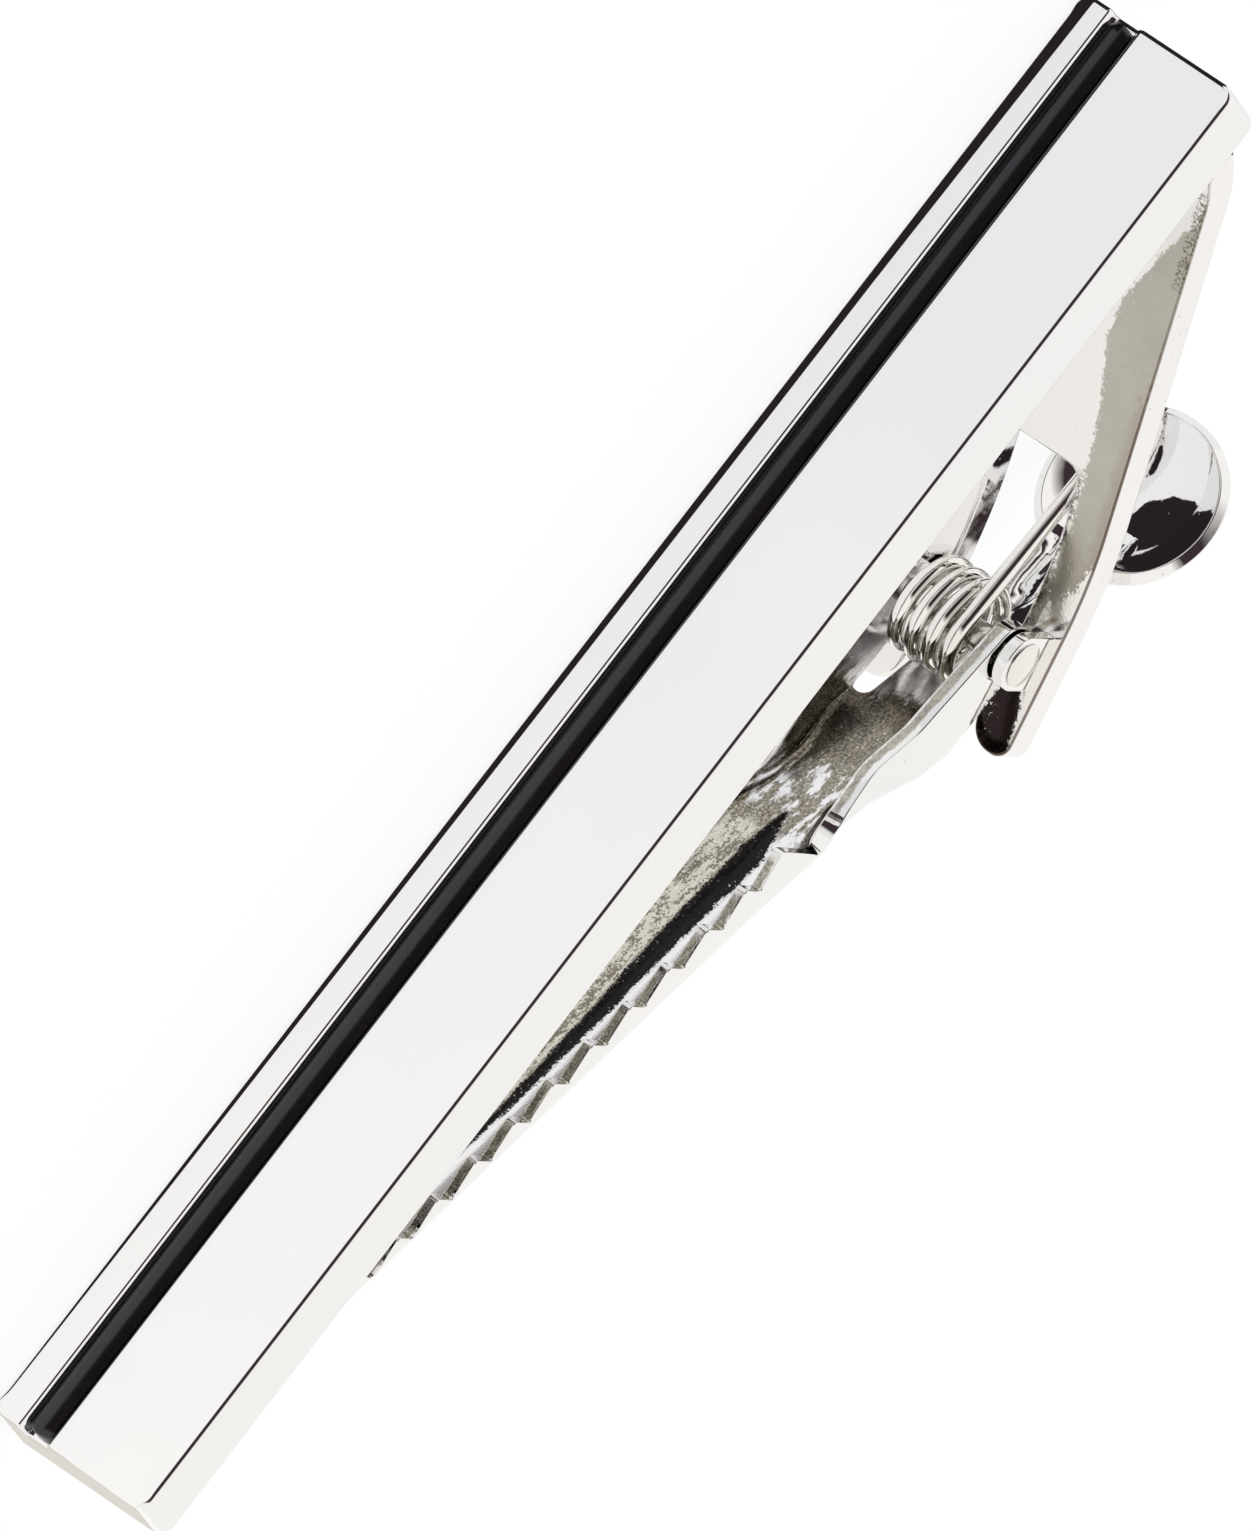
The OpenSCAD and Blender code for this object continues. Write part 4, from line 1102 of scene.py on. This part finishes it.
# %% World, floor, cards and a lamp
def light_tent():
    """White all round, but dark where a ray looks up, to the camera's side and not far to the
    lower end: z above 0, -y above 0.3 and x between -0.9 and 0.4."""
    world = bpy.data.worlds.new("light_tent")
    world.use_nodes = True
    world.node_tree.nodes.clear()
    bpy.context.scene.world = world
    f = Finish(world.node_tree)
    way = f.node("ShaderNodeTexCoord", "Generated")
    x, y, z = f.node("ShaderNodeSeparateXYZ", None, in0=way)
    up = f.ramp(z + 0.5, [(0.5, 0.0), (0.60, 1.0)])
    front = f.ramp(0.5 - y * 0.5, [(0.64, 0.0), (0.75, 1.0)])
    middle = f.ramp(x * 0.5 + 0.5, [(0.03, 0.0), (0.09, 1.0), (0.62, 1.0), (0.70, 0.0)])
    room = f.mix(up * front * middle, (1.0, 0.985, 0.965), (0.045, 0.03, 0.034))
    plain = f.mix(f.node("ShaderNodeLightPath", "Is Glossy Ray"), (1, 1, 1), room)
    seen = f.mix(f.node("ShaderNodeLightPath", "Is Camera Ray"), plain, (1, 1, 1))
    f.node("ShaderNodeOutputWorld", Surface=f.node("ShaderNodeBackground", Color=seen, Strength=1.0))


def bare_finish(name):
    """A new material with no shader yet, and the Finish that adds nodes to it."""
    material, f, _ = new_finish(name)
    f.tree.nodes.clear()
    return material, f


def paper_floor():
    """White paper: it glows white to the camera and to mirror rays, and keeps a share of its
    shadow. To mirror rays it brightens along the bar, as the real sweep of paper did."""
    material, f = bare_finish("paper_floor")
    camera, glossy, through = (f.node("ShaderNodeLightPath", name) for name in (
        "Is Camera Ray", "Is Glossy Ray", "Is Transmission Ray"))
    at = f.in_mm()
    paper = f.node("ShaderNodeBsdfDiffuse", 0, Color=f.mix(
        f.noise(at, 0.5, 3.0), (0.93, 0.93, 0.93), (0.96, 0.96, 0.955)))
    x = f.node("ShaderNodeSeparateXYZ", "X", Vector=at)
    along = f.ramp(x / 60 + 0.5, [(0.05, 0.0), (0.95, 1.0)])
    mirrored = f.mix(along, (0.90, 0.905, 0.91), (1.06, 1.045, 1.03))
    glow = f.node("ShaderNodeEmission", 0, Color=f.mix(camera, mirrored, (1, 1, 1)), Strength=1.0)
    share = camera * 0.87 + glossy * 0.9 + through * 0.9
    f.node("ShaderNodeOutputMaterial", Surface=f.node("ShaderNodeMixShader", 0, in0=share,
                                                      in1=paper, in2=glow))
    return material


def flat_sheet(name, corners, material):
    """A flat sheet of the studio, not part of the clip."""
    mesh = bpy.data.meshes.new(name)
    mesh.from_pydata([tuple(c) for c in corners], [], [tuple(range(len(corners)))])
    mesh.materials.append(material)
    obj = bpy.data.objects.new(name, mesh)
    bpy.context.scene.collection.objects.link(obj)
    return obj


def mirror_card(name, corners, material):
    """A card that only mirror rays can see."""
    obj = flat_sheet(name, corners, material)
    obj.visible_camera = obj.visible_diffuse = obj.visible_shadow = False
    obj.visible_transmission = False
    return obj


def card_paper(name, colour):
    """Card stock that glows faintly in one colour, so its mirror image is even."""
    material, f = bare_finish(name)
    f.node("ShaderNodeOutputMaterial",
           Surface=f.node("ShaderNodeEmission", 0, Color=(*colour, 1), Strength=1.0))
    return material


light_tent()
REACH, FLOOR_Z, CARD_Z = 0.4, -2e-5, -1e-5
flat_sheet("paper", [(x * REACH, y * REACH, FLOOR_Z) for x, y in ((-1, -1), (1, -1), (1, 1), (-1, 1))],
           paper_floor())
black = card_paper("card_black", (0.022, 0.016, 0.019))
brown = card_paper("card_brown", (0.34, 0.31, 0.24))
beige = card_paper("card_beige", (0.76, 0.73, 0.67))

# Each card is a painted reflection: dark bands beside the bar's edge and past its upper end, a beige
# end face, a dark disc and brown patches in the thumb pad.
# Corners as side-view (s, d): beside the face, past both ends, and three under the thumb pad.
for name, stock, corners in (
        ("edge_card", black, [(-4, -1.2), (BAR_LEN, 0.12), (BAR_LEN, 1), (-4, 1)]),
        ("upper_end_card", black, [(-0.1, 0), (-0.3, 16), (-28, 0), (-3, -13.5)]),
        ("lower_end_card", beige, [(BAR_LEN + 0.05, 0), (BAR_LEN + 6, -2), (BAR_LEN + 12, 18),
                                   (BAR_LEN + 0.3, 18)]),
        ("pad_card", black, [(8.0, 12.3), (8.5, 12.9), (9.1, 14.9), (9.0, 16.9), (8.5, 18.4),
                             (8.15, 19.4), (7.9, 21.3), (7.3, 24), (4, 24), (4, 12.3)]),
        ("pad_side_card", brown, [(8.9, 17.9), (9.4, 17.9), (9.1, 18.9), (8.7, 21), (8.3, 21)]),
        ("pad_top_card", brown, [(13.7, 11.9), (15.0, 12.2), (15.3, 13.0), (13.9, 12.9)])):
    mirror_card(name, [(bar_lo.x + s * MM, bar_lo.y + d * MM, CARD_Z) for s, d in corners], stock)

lamp = bpy.data.lights.new("soft_lamp", "AREA")
lamp.energy, lamp.size = 0.35, 0.35
lamp_at = bpy.data.objects.new("soft_lamp", lamp)
bpy.context.scene.collection.objects.link(lamp_at)
lamp_at.location = (-0.15, 0.12, 0.35)
lamp_at.rotation_euler = (-lamp_at.location).to_track_quat("-Z", "Y").to_euler()
lamp_at.visible_glossy = False

# %% [markdown]
# ## The camera
# The photograph was taken from far away, so parallel edges stay parallel. Three measured
# directions, along the bar, across it and into its depth, give the camera's own axes.

# %% Camera at the photograph's view
right = Vector((-0.6053, 0.2818, 0.7439))
up = Vector((-0.7852, -0.3625, -0.5014))
backward = right.cross(up).normalized()
right = up.cross(backward).normalized()
up = backward.cross(right).normalized()
PHOTO_HIGH, PX_PER_MM = 1531, 32.67
LENS, SENSOR = 1300.0, 36.0
AIM = (0.0153, 1.371)              # where the picture's middle lies in mm, to the right and up
distance = PHOTO_HIGH / PX_PER_MM * MM * LENS / SENSOR
camera_data = bpy.data.cameras.new("camera")
camera_data.lens, camera_data.sensor_width = LENS, SENSOR
camera_data.clip_start, camera_data.clip_end = 0.01, 10.0
camera = bpy.data.objects.new("camera", camera_data)
bpy.context.scene.collection.objects.link(camera)
target = (right * AIM[0] + up * AIM[1]) * MM
turn_matrix = Matrix((right, up, backward)).transposed().to_4x4()
camera.matrix_world = Matrix.Translation(target + backward * distance) @ turn_matrix
bpy.context.scene.camera = camera
bpy.context.scene.view_settings.view_transform = "Standard"
print("camera distance in mm:", round(distance / MM, 1))
